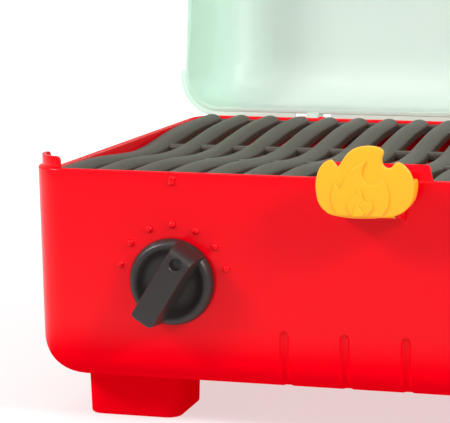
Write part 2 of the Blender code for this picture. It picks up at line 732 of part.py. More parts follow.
def build_tub(parent):
    """Builds the tub with everything that is moulded onto it."""
    tub = make_object("body_tub", tub_shell(), "red", parent)
    adds = [corner_lip(-1), corner_lip(1), middle_tab()] + dial_dots()
    for side in (-1, 1):
        adds.append(round_pip(side * abs(KNOB_X), RIM_Z - PIP_DROP, PIP_RADIUS, DOT_SINK,
                              PIP_HEIGHT / 2 / PIP_RADIUS))
        adds.append(spring_block(side))
    for x, y in foot_screw_places().values():
        top = FLOOR_Z + FLOOR_BOSS_HEIGHT
        adds.append(rod((x, y, FLOOR_Z - EMBED), (x, y, top), FLOOR_BOSS_RADIUS))
    for x, y in grate_screw_places().values():
        adds.append(rod((x, y, FLOOR_Z - EMBED), (x, y, POST_TOP), POST_WELL_RADIUS + POST_WALL))
    for x, z in hinge_screw_places().values():
        inner = BACK_Y - lean(z) - TUB_WALL
        adds.append(rod((x, inner + EMBED, z), (x, inner - WALL_BOSS_LENGTH, z), WALL_BOSS_RADIUS))
    bushing = wall_front(KNOB_Z) + TUB_WALL
    adds.append(rod((KNOB_X, bushing - EMBED, KNOB_Z), (KNOB_X, bushing + BUSHING_LENGTH, KNOB_Z),
                    BUSHING_RADIUS, FINE_SIDES))
    boolean(tub, "UNION", adds, "moulded_on")
    cuts = []
    for x, y in foot_screw_places().values():
        top = FLOOR_Z + FLOOR_BOSS_HEIGHT - BLIND_END
        cuts.append(rod((x, y, TUB_BOTTOM - OVERRUN), (x, y, top), SCREW_BORE))
    for x, y in grate_screw_places().values():
        seat = POST_TOP - POST_SEAT_DEPTH
        cuts.append(turned([(0, POST_WELL_RADIUS), (seat - TUB_BOTTOM + OVERRUN, POST_WELL_RADIUS),
                            (seat - TUB_BOTTOM + OVERRUN, SCREW_BORE),
                            (POST_TOP - TUB_BOTTOM + 2 * OVERRUN, SCREW_BORE)],
                           (x, y, TUB_BOTTOM - OVERRUN), (0, 0, 1)))
    for x, z in hinge_screw_places().values():
        inner = BACK_Y - lean(z) - TUB_WALL - WALL_BOSS_LENGTH
        cuts.append(rod((x, BACK_Y + OVERRUN, z), (x, inner - OVERRUN, z), SCREW_BORE))
    for s in (-1, 1):
        x = s * BRACKET_SCREW_SPACING / 2
        behind = FRONT_Y + TUB_WALL + 2 * OVERRUN
        cuts.append(rod((x, FRONT_Y - OVERRUN, LATCH_Z), (x, behind, LATCH_Z), SCREW_BORE))
    cuts.append(rod((KNOB_X, FRONT_Y - OVERRUN, KNOB_Z),
                    (KNOB_X, bushing + BUSHING_LENGTH + OVERRUN, KNOB_Z),
                    SPINDLE_RADIUS + RUNNING_GAP, FINE_SIDES))
    boolean(tub, "DIFFERENCE", cuts, "bores")


# Feet

def foot_ring(x, y, z, inset):
    """Returns a ring of a foot, which narrows towards the floor."""
    shrink = inset + (FOOT_HEIGHT - z) * math.tan(FOOT_DRAFT)
    radius = FOOT_CORNER - inset
    outline = rounded_rectangle(FOOT_WIDTH / 2 - shrink, FOOT_DEPTH / 2 - shrink, radius, 4)
    return [(x + px, y + py, z) for px, py in outline]


def build_feet(parent):
    """Builds the four hollow feet, each with two screw bosses."""
    top = FOOT_HEIGHT - SEAT_GAP
    for name, (x, y) in foot_centres().items():
        rings = [
            foot_ring(x, y, 0, FOOT_EDGE),
            foot_ring(x, y, FOOT_EDGE, 0),
            foot_ring(x, y, top, 0),
            foot_ring(x, y, top, FOOT_WALL),
            foot_ring(x, y, FOOT_WALL, FOOT_WALL),
        ]
        foot = make_object(name, loft(rings), "red", parent)
        places = [(x + s * FOOT_SCREW_SPACING / 2, y) for s in (-1, 1)]
        bosses = [rod((px, py, FOOT_WALL / 2), (px, py, top), FOOT_BOSS_RADIUS) for px, py in places]
        boolean(foot, "UNION", bosses, "bosses")
        wells = []
        for px, py in places:
            profile = [(0, POST_WELL_RADIUS), (FOOT_SCREW_SEAT + OVERRUN, POST_WELL_RADIUS),
                       (FOOT_SCREW_SEAT + OVERRUN, SCREW_BORE), (top + 2 * OVERRUN, SCREW_BORE)]
            wells.append(turned(profile, (px, py, -OVERRUN), (0, 0, 1)))
        boolean(foot, "DIFFERENCE", wells, "wells")
    seat = FOOT_SCREW_SEAT - SEAT_GAP
    end = FLOOR_Z + FLOOR_BOSS_HEIGHT - BLIND_END - SEAT_GAP
    for name, (x, y) in foot_screw_places().items():
        make_object(name, case_screw((x, y, seat), (0, 0, 1), end - seat), "steel", parent)


# Grate

def grate_top(y):
    """Returns the height of the bars' ridges, which sag in the middle of the grate."""
    share = min(1, abs(y) / GRATE_SAG_REACH)
    return RIM_Z - GRATE_END_DROP - GRATE_SAG * math.cos(math.pi / 2 * share) ** 2


def grate_half_y():
    """Returns half the grate's depth inside the tub."""
    return TUB_DEPTH / 2 - TUB_WALL - GRATE_CLEARANCE


def grate_bar(x):
    """Returns one round topped bar that runs from the front of the frame to its back."""
    half_run = grate_half_y() - FRAME_WIDTH / 2
    section = [(-w * BAR_WIDTH / 2, -h * BAR_HEIGHT) for w, h in BAR_SECTION_SHARES]
    section += [(w * BAR_WIDTH / 2, -h * BAR_HEIGHT) for w, h in reversed(BAR_SECTION_SHARES[:-1])]
    rings = []
    for i in range(BAR_STEPS + 1):
        y = -half_run + 2 * half_run * i / BAR_STEPS
        top = grate_top(y)
        rings.append([(x + dx, y, top + dz) for dx, dz in section])
    return loft(rings)


def grate_frame():
    """Returns the frame that closes the bars' ends, sagging with them."""
    half_x = GRATE_HALF_X
    half_y = grate_half_y()
    radius = TUB_CORNER - TUB_WALL - GRATE_CLEARANCE
    straight = half_y - radius
    rings = []
    for sx, sy, start in ((1, 1, 0), (-1, 1, 90), (-1, -1, 180), (1, -1, 270)):
        centre = (sx * (half_x - radius), sy * straight)
        for angle in (start + 90 * i / 4 for i in range(5)):
            rings.append(frame_section(centre, radius, math.radians(angle)))
        if sx == sy:
            continue
        for i in range(1, BAR_STEPS):
            y = sy * straight * (1 - 2 * i / BAR_STEPS)
            rings.append(frame_section((sx * (half_x - radius), y), radius, 0 if sx > 0 else math.pi))
    return loft(rings, closed_path=True)


def frame_section(centre, radius, angle):
    """Returns the section of the grate's frame at one place of its outline."""
    section = []
    shoulder = FRAME_SINK + FRAME_CHAMFER
    for inset, sink in ((0, FRAME_HEIGHT), (0, shoulder), (FRAME_CHAMFER, FRAME_SINK),
                        (FRAME_WIDTH - FRAME_CHAMFER, FRAME_SINK), (FRAME_WIDTH, shoulder),
                        (FRAME_WIDTH, FRAME_HEIGHT)):
        x = centre[0] + (radius - inset) * math.cos(angle)
        y = centre[1] + (radius - inset) * math.sin(angle)
        section.append((x, y, grate_top(y) - sink))
    return section


def build_grate(parent):
    """Builds the grate as one moulding, and the screws that hold it on the tub's posts."""
    xs = [(i - (BAR_COUNT - 1) / 2) * BAR_PITCH for i in range(BAR_COUNT)]
    grate = make_object("grill_grate", joined([grate_bar(x) for x in xs]), "grate", parent)
    boolean(grate, "UNION", [grate_frame()], "frame")
    half_x = GRATE_HALF_X - FRAME_WIDTH / 2
    top = grate_top(CROSSBAR_SPACING / 2) - CROSSBAR_SINK
    bosses = []
    for way in (-1, 1):
        y = way * CROSSBAR_SPACING / 2
        bosses.append(box((-half_x, y - CROSSBAR_WIDTH / 2, top - CROSSBAR_HEIGHT),
                          (half_x, y + CROSSBAR_WIDTH / 2, top)))
    boss_end = RIM_Z - GRATE_BOSS_DROP
    for x, y in grate_screw_places().values():
        bosses.append(rod((x, y, boss_end), (x, y, grate_top(y) - BAR_HEIGHT / 2), GRATE_BOSS_RADIUS))
    boolean(grate, "UNION", bosses, "crossbar_and_bosses")
    bores = []
    for x, y in grate_screw_places().values():
        bores.append(rod((x, y, boss_end - OVERRUN), (x, y, grate_top(y) - GRATE_BORE_ROOF), SCREW_BORE))
    boolean(grate, "DIFFERENCE", bores, "bores")
    seat = POST_TOP - POST_SEAT_DEPTH - SEAT_GAP
    for name, (x, y) in grate_screw_places().items():
        end = grate_top(y) - GRATE_BORE_ROOF - SEAT_GAP
        make_object(name, case_screw((x, y, seat), (0, 0, 1), end - seat), "steel", parent)


# Lid and hinges

def lid_ring(height, inset, corner, offset=0):
    """Returns a ring of the closed lid at a height above its rim."""
    outline = rounded_rectangle(LID_HALF_X - inset, LID_HALF_Y - inset, corner, 6)
    return [(x, y, LID_BOTTOM + height - offset) for x, y in outline]


def lid_rings(offset):
    """Returns the rings of the lid's outer face, or of its inner face at an offset, from rim to crown."""
    straight = LID_HEIGHT - LID_FILLET
    slope = (straight - LID_SKIRT_HEIGHT) * math.tan(LID_DRAFT)
    skirt_corner = LID_CORNER - offset
    rings = [lid_ring(0, offset, skirt_corner), lid_ring(LID_SKIRT_HEIGHT, offset, skirt_corner)]
    for i in range(LID_FILLET_STEPS + 1):
        angle = LID_DRAFT + (math.pi / 2 - LID_DRAFT) * i / LID_FILLET_STEPS
        radius = LID_FILLET - offset
        inset = slope + offset + radius * (math.cos(LID_DRAFT) - math.cos(angle))
        height = straight + radius * math.sin(angle)
        corner = LID_CORNER - offset + (LID_TOP_CORNER - LID_CORNER) * i / LID_FILLET_STEPS
        rings.append(lid_ring(height, inset, corner))
    return rings


def lid_corner_flange(side, end):
    """Returns the ledge that stands out round one corner of the lid's rim."""
    centre_x = side * (LID_HALF_X - LID_CORNER)
    centre_y = end * (LID_HALF_Y - LID_CORNER)
    inner = LID_CORNER - LID_WALL + EMBED
    outer = LID_CORNER + LID_FLANGE_WIDTH
    rings = []
    low = LID_BOTTOM + LID_FLANGE_LIFT
    high = LID_BOTTOM + LID_FLANGE_HEIGHT
    stations = [((LID_FLANGE_TAIL, 0), 90)] + [((0, 0), 82.5 - 15 * i) for i in range(6)]
    stations += [((0, LID_FLANGE_TAIL), 0)]
    for i, ((tail_x, tail_y), degrees) in enumerate(stations):
        at_end = i in (0, len(stations) - 1)
        reach = outer - LID_FLANGE_WIDTH / 2 if at_end else outer
        cx = centre_x - side * tail_x
        cy = centre_y - end * tail_y
        out = (side * math.cos(math.radians(degrees)), end * math.sin(math.radians(degrees)))
        ring = []
        for radius, z in ((inner, low), (reach, low), (reach, high), (inner, high)):
            ring.append((cx + out[0] * radius, cy + out[1] * radius, z))
        rings.append(ring)
    return loft(rings)


def lid_knuckle(x):
    """Returns the ear on the lid's rear wall that turns on one hinge pin."""
    wall = LID_HALF_Y - LID_WALL / 2
    outline = [(wall, HINGE_Z + HINGE_EAR_RISE), (wall, LID_BOTTOM + EMBED)]
    outline += arc((HINGE_Y, HINGE_Z), HINGE_KNUCKLE_RADIUS, 215, 400, 9)
    half = HINGE_KNUCKLE_WIDTH / 2
    return prism(outline, "X", x - half, x + half)


def build_lid(parent):
    """Builds the lid closed, in the frame of its hinge axis."""
    outer = lid_rings(0)
    inner = lid_rings(LID_WALL)
    lid = make_object("lid_shell", loft(outer[::-1] + inner), "mint", parent)
    adds = [lid_corner_flange(sx, sy) for sx in (-1, 1) for sy in (-1, 1)]
    adds += [lid_knuckle(s * HINGE_SPACING / 2) for s in (-1, 1)]
    catch_y = -LID_HALF_Y
    adds.append(box((-CATCH_WIDTH / 2, catch_y - CATCH_REACH, RIM_Z + CATCH_DROP),
                    (CATCH_WIDTH / 2, catch_y + EMBED, RIM_Z + CATCH_DROP + CATCH_HEIGHT)))
    pad_y = catch_y + LID_WALL
    for s in (-1, 1):
        x = s * PAD_SPACING / 2
        adds.append(box((x - PAD_WIDTH / 2, pad_y - EMBED, RIM_Z + SEAT_GAP),
                        (x + PAD_WIDTH / 2, pad_y + PAD_REACH, RIM_Z + SEAT_GAP + PAD_HEIGHT)))
    boolean(lid, "UNION", adds, "moulded_on")
    bores = []
    for s in (-1, 1):
        x = s * HINGE_SPACING / 2
        reach = HINGE_KNUCKLE_WIDTH / 2 + OVERRUN
        bores.append(rod((x - reach, HINGE_Y, HINGE_Z), (x + reach, HINGE_Y, HINGE_Z),
                         HINGE_PIN_RADIUS + RUNNING_GAP))
    boolean(lid, "DIFFERENCE", bores, "bores")


def hinge_ear(x0, x1):
    """Returns one ear of a hinge bracket."""
    base = BACK_Y + SEAT_GAP + HINGE_BASE_THICKNESS - EMBED
    top = RIM_Z - HINGE_BASE_TOP_DROP - EMBED
    bottom = RIM_Z - HINGE_BASE_TOP_DROP - HINGE_BASE_HEIGHT + EMBED
    outline = [(base, top), (base, bottom)]
    outline += arc((HINGE_Y, HINGE_Z), HINGE_KNUCKLE_RADIUS, -60, 120, 9)
    return prism(outline, "X", x0, x1)


def build_hinges(parent):
    """Builds the two hinge brackets on the tub's rear wall, their pins and their screws."""
    base_y = BACK_Y + SEAT_GAP
    top = RIM_Z - HINGE_BASE_TOP_DROP
    gap = HINGE_KNUCKLE_WIDTH / 2 + HINGE_SIDE_GAP
    ear_end = gap + HINGE_EAR_WIDTH
    for name, side in SIDES:
        x = side * HINGE_SPACING / 2
        plate = box((x - HINGE_BASE_WIDTH / 2, base_y, top - HINGE_BASE_HEIGHT),
                    (x + HINGE_BASE_WIDTH / 2, base_y + HINGE_BASE_THICKNESS, top))
        bracket = make_object("hinge_bracket_" + name, plate, "red", parent)
        ears = [hinge_ear(x - ear_end, x - gap), hinge_ear(x + gap, x + ear_end)]
        boolean(bracket, "UNION", ears, "ears")
        cuts = [rod((x - ear_end - OVERRUN, HINGE_Y, HINGE_Z), (x + ear_end + OVERRUN, HINGE_Y, HINGE_Z),
                    HINGE_PIN_RADIUS + RUNNING_GAP)]
        for sx, sz in hinge_screw_places().values():
            if (sx > 0) == (side > 0):
                behind = base_y + HINGE_BASE_THICKNESS + OVERRUN
                cuts.append(rod((sx, base_y - OVERRUN, sz), (sx, behind, sz), SCREW_BORE))
        boolean(bracket, "DIFFERENCE", cuts, "bores")
        half = ear_end + SEAT_GAP
        profile = [(-half - HINGE_PIN_HEAD, HINGE_PIN_HEAD_RADIUS), (-half, HINGE_PIN_HEAD_RADIUS),
                   (-half, HINGE_PIN_RADIUS), (half, HINGE_PIN_RADIUS),
                   (half, HINGE_PIN_HEAD_RADIUS), (half + HINGE_PIN_HEAD, HINGE_PIN_HEAD_RADIUS)]
        pin = turned(profile, (x, HINGE_Y, HINGE_Z), (1, 0, 0))
        make_object("hinge_pin_" + name, pin, "steel", parent)
    seat = base_y + HINGE_BASE_THICKNESS + SEAT_GAP
    for name, (x, z) in hinge_screw_places().items():
        end = BACK_Y - lean(z) - TUB_WALL - WALL_BOSS_LENGTH + BLIND_END
        make_object(name, case_screw((x, seat, z), (0, -1, 0), seat - end), "steel", parent)


# Latch

def flame_foot():
    """Returns the height of the flame plate's lowest edge."""
    return RIM_Z - FLAME_BOTTOM_DROP


def flame_outline(shares):
    """Returns one flame outline in X and Z."""
    height = FLAME_TOP_RISE + FLAME_BOTTOM_DROP
    outline = smooth_outline(shares, FLAME_WIDTH, height, flame_foot())
    return [(x + FLAME_SHIFT, z) for x, z in outline]


def web_back():
    """Returns the Y of the lever web's back face, just in front of the bracket's ears."""
    return LATCH_Y - BRACKET_EAR_RADIUS - LEVER_WEB_GAP


def lever_outline():
    """Returns the lever's outline: the flame's own edge, cut level above the rim."""
    top = RIM_Z + LEVER_TOP_RISE
    outline = []
    for x, z in flame_outline(FLAME_OUTLINE_SHARES):
        if z < top:
            shrink = 1 - 2 * LEVER_INSET / FLAME_WIDTH
            outline.append(((x - FLAME_SHIFT) * shrink + FLAME_SHIFT, max(z, flame_foot() + LEVER_INSET)))
    first = max(range(len(outline)), key=lambda i: (outline[i][0] > 0) * outline[i][1])
    outline = outline[first:] + outline[:first]
    return [(outline[0][0], top)] + outline + [(outline[-1][0], top)]


def build_latch(parent, root):
    """Builds the flame latch that swings on the bracket, and the bracket with its pin and screws."""
    front = web_back() - LEVER_WEB
    lever = make_object("latch_lever", prism(lever_outline(), "Y", front, LATCH_Y), "yellow", parent)
    pocket_half = BRACKET_WIDTH / 2 + LEVER_POCKET_GAP
    pocket = box((-pocket_half, web_back(), flame_foot() - OVERRUN),
                 (pocket_half, LATCH_Y + OVERRUN, RIM_Z + LEVER_TOP_RISE + OVERRUN))
    boolean(lever, "DIFFERENCE", [pocket], "pocket")
    barrel_half = LATCH_BARREL_WIDTH / 2
    barrel = arc((LATCH_Y, LATCH_Z), LATCH_BARREL_RADIUS, -90, 90, 8)
    arm = web_back() - EMBED
    barrel += [(arm, LATCH_Z + LATCH_BARREL_RADIUS), (arm, LATCH_Z - LATCH_BARREL_RADIUS + LEVER_INSET)]
    hook_low = RIM_Z + CATCH_DROP + CATCH_HEIGHT + HOOK_GAP
    hook_tip = -LID_HALF_Y - CATCH_REACH - HOOK_TIP_GAP
    hook_top = hook_low + HOOK_HEIGHT
    hook_front = front + EMBED / 2
    hook_foot = RIM_Z - LEVER_TOP_RISE
    hook = [(hook_front, hook_foot), (web_back(), hook_foot), (web_back(), hook_low), (hook_tip, hook_low),
            (hook_tip, hook_low + HOOK_HEIGHT / 2), (web_back(), hook_top), (hook_front, hook_top)]
    adds = [prism(barrel, "X", -barrel_half, barrel_half),
            prism(hook, "X", -HOOK_WIDTH / 2, HOOK_WIDTH / 2)]
    boolean(lever, "UNION", adds, "barrel_and_hook")
    bores = [rod((-barrel_half - OVERRUN, LATCH_Y, LATCH_Z), (barrel_half + OVERRUN, LATCH_Y, LATCH_Z),
                 LATCH_PIN_RADIUS + RUNNING_GAP)]
    screw_z = RIM_Z - LATCH_SCREW_DROP
    places = {name: side * LATCH_SCREW_SPACING / 2 for name, side in SIDES}
    small_bore = SMALL_SCREW_RADIUS + RUNNING_GAP
    for x in places.values():
        bores.append(rod((x, front - OVERRUN, screw_z), (x, web_back() + OVERRUN, screw_z), small_bore))
    boolean(lever, "DIFFERENCE", bores, "bores")

    back = front - SEAT_GAP
    face = back - FLAME_THICKNESS
    plate = make_object("latch_flame", prism(flame_outline(FLAME_OUTLINE_SHARES), "Y", face, back),
                        "yellow", parent)
    middle = prism(flame_outline(MIDDLE_FLAME_SHARES), "Y", face - FLAME_STEP, face + EMBED)
    boolean(plate, "UNION", [middle], "middle_flame")
    inner = prism(flame_outline(INNER_FLAME_SHARES), "Y", face - 2 * FLAME_STEP, face + EMBED / 2)
    boolean(plate, "UNION", [inner], "inner_flame")
    pits = [rod((x, back + OVERRUN, screw_z), (x, back - LATCH_SCREW_BITE - SEAT_GAP, screw_z), small_bore)
            for x in places.values()]
    boolean(plate, "DIFFERENCE", pits, "bores")

    seat = web_back() + SEAT_GAP
    for name, x in places.items():
        fastener = screw((x, seat, screw_z), (0, -1, 0), seat - back + LATCH_SCREW_BITE, SMALL_SCREW_RADIUS,
                         SMALL_HEAD_RADIUS, SMALL_HEAD_HEIGHT)
        make_object("latch_screw_" + name, fastener, "steel", parent)
    build_latch_bracket(root)


def build_latch_bracket(parent):
    """Builds the latch's bracket and pin, and the screws that hold the bracket from inside the tub."""
    base_y = FRONT_Y - SEAT_GAP
    half = BRACKET_WIDTH / 2
    plate = box((-half, base_y - BRACKET_BASE, RIM_Z - BRACKET_BOTTOM_DROP),
                (half, base_y, RIM_Z - BRACKET_TOP_DROP))
    bracket = make_object("latch_bracket", plate, "red", parent)
    root = base_y - BRACKET_BASE + EMBED
    inner = LATCH_BARREL_WIDTH / 2 + BRACKET_SIDE_GAP
    outline = arc((LATCH_Y, LATCH_Z), BRACKET_EAR_RADIUS, 100, 260, 9)
    outline += [(root, RIM_Z - BRACKET_BOTTOM_DROP + EMBED), (root, RIM_Z - BRACKET_TOP_DROP - EMBED)]
    sides = ((-half + EMBED / 2, -inner), (inner, half - EMBED / 2))
    ears = [prism(outline, "X", x0, x1) for x0, x1 in sides]
    boolean(bracket, "UNION", ears, "ears")
    cuts = [rod((-half - OVERRUN, LATCH_Y, LATCH_Z), (half + OVERRUN, LATCH_Y, LATCH_Z),
                LATCH_PIN_RADIUS + RUNNING_GAP)]
    places = {name: side * BRACKET_SCREW_SPACING / 2 for name, side in SIDES}
    for x in places.values():
        before = base_y - BRACKET_BASE - OVERRUN
        cuts.append(rod((x, base_y + OVERRUN, LATCH_Z), (x, before, LATCH_Z), SCREW_BORE))
    boolean(bracket, "DIFFERENCE", cuts, "bores")
    pin_half = half - PIN_END_INSET
    pin = rod((-pin_half, LATCH_Y, LATCH_Z), (pin_half, LATCH_Y, LATCH_Z), LATCH_PIN_RADIUS)
    make_object("latch_pin", pin, "steel", parent)
    seat = wall_front(LATCH_Z) + TUB_WALL + SEAT_GAP
    end = base_y - BRACKET_BASE
    for name, x in places.items():
        fastener = case_screw((x, seat, LATCH_Z), (0, -1, 0), seat - end)
        make_object("latch_bracket_screw_" + name, fastener, "steel", parent)


# Knob

def build_knob(parent, root):
    """Builds the knob with its pointer up, and the spindle and click wheel that turn with it."""
    wall = wall_front(KNOB_Z)
    back = wall - KNOB_WALL_GAP
    centre = (KNOB_X, back, KNOB_Z)
    spindle_bore = SPINDLE_RADIUS - SPINDLE_BORE_WALL
    profile = [
        (0, KNOB_BACK_RADIUS),
        (KNOB_WAIST, KNOB_RADIUS),
        (KNOB_RIM_HEIGHT, KNOB_RIM_RADIUS),
        (KNOB_RIM_HEIGHT, KNOB_RIM_RADIUS - KNOB_RIM_WIDTH),
        (KNOB_FLOOR, KNOB_POCKET_RADIUS),
    ]
    knob = make_object("knob_grip", turned(profile, centre, (0, -1, 0), FINE_SIDES), "charcoal", parent)
    rows = ((KNOB_FLOOR / 2, KNOB_BAR_BASE_WIDTH, 0, 0),
            (KNOB_RIM_HEIGHT - KNOB_BEVEL, KNOB_BAR_BASE_WIDTH, 0, 0),
            (KNOB_HEIGHT - KNOB_BEVEL, KNOB_BAR_WIDTH, KNOB_BAR_SLOPE, 0),
            (KNOB_HEIGHT, KNOB_BAR_WIDTH - 2 * KNOB_BEVEL, KNOB_BAR_SLOPE + KNOB_BEVEL, KNOB_BEVEL))
    bar = []
    for out, width, slope, trim in rows:
        outline = rounded_rectangle(width / 2, KNOB_BAR_REACH, width / 4, 3)
        ends = [(x, z - (slope if z > 0 else -trim)) for x, z in outline]
        bar.append([(KNOB_X + x, back - out, KNOB_Z + z) for x, z in ends])
    boolean(knob, "UNION", [loft(bar)], "bar")
    face = back - KNOB_HEIGHT
    dot_z = KNOB_Z + KNOB_DOT_OFFSET
    dot = rod((KNOB_X, face - OVERRUN, dot_z), (KNOB_X, face + KNOB_DOT_DEPTH, dot_z), KNOB_DOT_RADIUS)
    socket_radius = SPINDLE_RADIUS + RUNNING_GAP
    socket = turned([(-OVERRUN, socket_radius), (KNOB_SOCKET_DEPTH, socket_radius),
                     (KNOB_SOCKET_DEPTH, SCREW_BORE), (KNOB_HEIGHT - KNOB_FLOOR, SCREW_BORE)],
                    centre, (0, -1, 0), FINE_SIDES)
    boolean(knob, "DIFFERENCE", [dot, socket], "dot_and_socket")

    wheel_y = wheel_front()
    rear = wheel_y + WHEEL_THICKNESS
    start = back - KNOB_SOCKET_DEPTH + SEAT_GAP
    spindle = make_object("knob_spindle", rod((KNOB_X, start, KNOB_Z), (KNOB_X, rear, KNOB_Z),
                                              SPINDLE_RADIUS, FINE_SIDES), "white", parent)
    bore = rod((KNOB_X, start - OVERRUN, KNOB_Z), (KNOB_X, rear + OVERRUN, KNOB_Z), spindle_bore)
    boolean(spindle, "DIFFERENCE", [bore], "bore")

    wheel = make_object("click_wheel", click_wheel(wheel_y, rear), "white", parent)
    hole = rod((KNOB_X, wheel_y - OVERRUN, KNOB_Z), (KNOB_X, rear + OVERRUN, KNOB_Z),
               SPINDLE_RADIUS + SEAT_GAP, FINE_SIDES)
    boolean(wheel, "DIFFERENCE", [hole], "bore")

    washer_y = rear + SEAT_GAP
    washer = make_object("spindle_washer", rod((KNOB_X, washer_y, KNOB_Z),
                                               (KNOB_X, washer_y + WASHER_THICKNESS, KNOB_Z), WASHER_RADIUS,
                                               FINE_SIDES), "steel", parent)
    eye = rod((KNOB_X, washer_y - OVERRUN, KNOB_Z), (KNOB_X, washer_y + WASHER_THICKNESS + OVERRUN, KNOB_Z),
              SCREW_BORE)
    boolean(washer, "DIFFERENCE", [eye], "bore")
    seat = washer_y + WASHER_THICKNESS + SEAT_GAP
    length = seat - back + KNOB_HEIGHT - KNOB_FLOOR - BLIND_END
    make_object("spindle_screw", case_screw((KNOB_X, seat, KNOB_Z), (0, -1, 0), length), "steel", parent)
    make_object("click_spring", click_spring(), "steel", root)


def click_wheel(front, rear):
    """Returns the wheel whose notches give the knob one click for each dot on the tub."""
    outline = []
    step = math.degrees(DOT_STEP_ANGLE)
    for i in range(DOT_COUNT):
        middle = 180 - math.degrees(DOT_FIRST_ANGLE) + step * i
        outline += arc((KNOB_X, KNOB_Z), WHEEL_RADIUS, middle - step / 2, middle - step / 6, 2)
        outline += arc((KNOB_X, KNOB_Z), WHEEL_RADIUS - WHEEL_NOTCH, middle, middle, 1)[:1]
        outline += arc((KNOB_X, KNOB_Z), WHEEL_RADIUS, middle + step / 6, middle + step / 3, 1)
    plain_start = middle + step / 2
    plain_end = plain_start + 360 - DOT_COUNT * step
    outline += arc((KNOB_X, KNOB_Z), WHEEL_RADIUS, plain_start, plain_end - step / 2, 12)
    return prism(outline, "Y", front, rear)


def click_spring():
    """Returns the leaf spring: a flat strip with a pointed dip that rides on the click wheel."""
    half = SPRING_SPAN / 2
    z = spring_top()
    under = [(-half, 0), (-SPRING_TIP, 0), (0, -SPRING_RISE), (SPRING_TIP, 0), (half, 0)]
    over = [(half, SPRING_THICKNESS), (SPRING_TIP - SPRING_THICKNESS / 2, SPRING_THICKNESS),
            (0, SPRING_THICKNESS - SPRING_RISE), (SPRING_THICKNESS / 2 - SPRING_TIP, SPRING_THICKNESS),
            (-half, SPRING_THICKNESS)]
    outline = [(KNOB_X + x, z + dz) for x, dz in under + over]
    return prism(outline, "Y", spring_front(), spring_front() + SPRING_WIDTH)


# Assembly

def lowest_and_highest():
    """Returns the corners of the box round all the pieces as they stand."""
    graph = bpy.context.evaluated_depsgraph_get()
    low = Vector((math.inf,) * 3)
    high = Vector((-math.inf,) * 3)
    for obj in bpy.context.scene.objects:
        if obj.type != "MESH" or obj.hide_render:
            continue
        shown = obj.evaluated_get(graph)
        for vertex in shown.data.vertices:
            place = shown.matrix_world @ vertex.co
            low = Vector(map(min, low, place))
            high = Vector(map(max, high, place))
    return low, high


def main():
    """Builds the whole toy, opens its lid, turns its knob and centres it on the origin."""
    clear_scene()
    root = make_empty("grill_origin", (0, 0, 0))
    build_tub(root)
    build_feet(root)
    build_grate(root)
    build_hinges(root)
    lid_axis = make_empty("lid_axis", (0, HINGE_Y, HINGE_Z), root)
    lid_axis["place"] = (0, HINGE_Y, HINGE_Z)
    build_lid(lid_axis)
    latch_axis = make_empty("latch_axis", (0, LATCH_Y, LATCH_Z), root)
    latch_axis["place"] = (0, LATCH_Y, LATCH_Z)
    build_latch(latch_axis, root)
    knob_axis = make_empty("knob_axis", (KNOB_X, FRONT_Y, KNOB_Z), root)
    knob_axis["place"] = (KNOB_X, FRONT_Y, KNOB_Z)
    build_knob(knob_axis, root)
    lid_axis.rotation_euler = (-LID_OPEN_ANGLE, 0, 0)
    knob_axis.rotation_euler = (0, math.pi / 2 - KNOB_POINTER_ANGLE, 0)
    bpy.context.view_layer.update()
    low, high = lowest_and_highest()
    root.location = (-(low.x + high.x) / 2, -(low.y + high.y) / 2, -low.z)
    bpy.context.view_layer.update()


main()
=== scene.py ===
"""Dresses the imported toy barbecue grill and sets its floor, light and camera.

Lengths are in metres, X to the right, Y to the back and Z up. The moulded pieces are built in the frame of
the tub, whose middle is at X = Y = 0 with the floor at Z = 0, and are then carried to the frame of the model.
"""
import json
import logging
import math
from dataclasses import dataclass
from enum import Enum
from typing import Any, Callable, Sequence

import bmesh
import bpy
from mathutils import Matrix, Vector


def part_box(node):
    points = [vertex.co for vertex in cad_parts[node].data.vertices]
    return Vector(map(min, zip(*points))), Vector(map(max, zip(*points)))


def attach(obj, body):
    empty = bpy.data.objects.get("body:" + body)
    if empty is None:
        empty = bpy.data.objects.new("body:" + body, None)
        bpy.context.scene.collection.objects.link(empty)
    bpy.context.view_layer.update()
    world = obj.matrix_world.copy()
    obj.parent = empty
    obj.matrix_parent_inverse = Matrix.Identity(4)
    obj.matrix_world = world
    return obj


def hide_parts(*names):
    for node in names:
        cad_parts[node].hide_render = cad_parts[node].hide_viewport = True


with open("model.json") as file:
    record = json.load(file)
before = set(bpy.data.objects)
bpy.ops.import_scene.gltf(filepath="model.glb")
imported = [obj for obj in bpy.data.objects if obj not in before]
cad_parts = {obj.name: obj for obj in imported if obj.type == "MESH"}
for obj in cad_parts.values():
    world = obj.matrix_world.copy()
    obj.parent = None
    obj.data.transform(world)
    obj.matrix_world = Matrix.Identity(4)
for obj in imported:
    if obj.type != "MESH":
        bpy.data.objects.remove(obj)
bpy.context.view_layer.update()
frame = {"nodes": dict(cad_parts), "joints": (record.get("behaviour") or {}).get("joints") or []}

LOG = logging.getLogger("grill")
MM = 0.001
Point = tuple[float, float, float]
Flat = tuple[float, float]
Obj = bpy.types.Object
Material = bpy.types.Material
UP: Point = (0.0, 0.0, 1.0)
FORWARD: Point = (0.0, -1.0, 0.0)


class Body(Enum):
    """The moving bodies of the model that a piece can ride on."""

    TUB = "tub"
    LID = "lid"
    LATCH = "latch"
    KNOB = "knob"


class Slot(Enum):
    """The record's slots for the finishes."""

    RED = "red_plastic"
    GRATE = "grate_plastic"
    CHARCOAL = "charcoal_plastic"
    YELLOW = "yellow_plastic"
    MINT = "mint_plastic"
    WHITE = "white_plastic"
    STEEL = "steel"


class Element(Enum):
    """What edit mode selects."""

    POINTS = "VERT"
    EDGES = "EDGE"
    FACES = "FACE"


# Colour and shader nodes

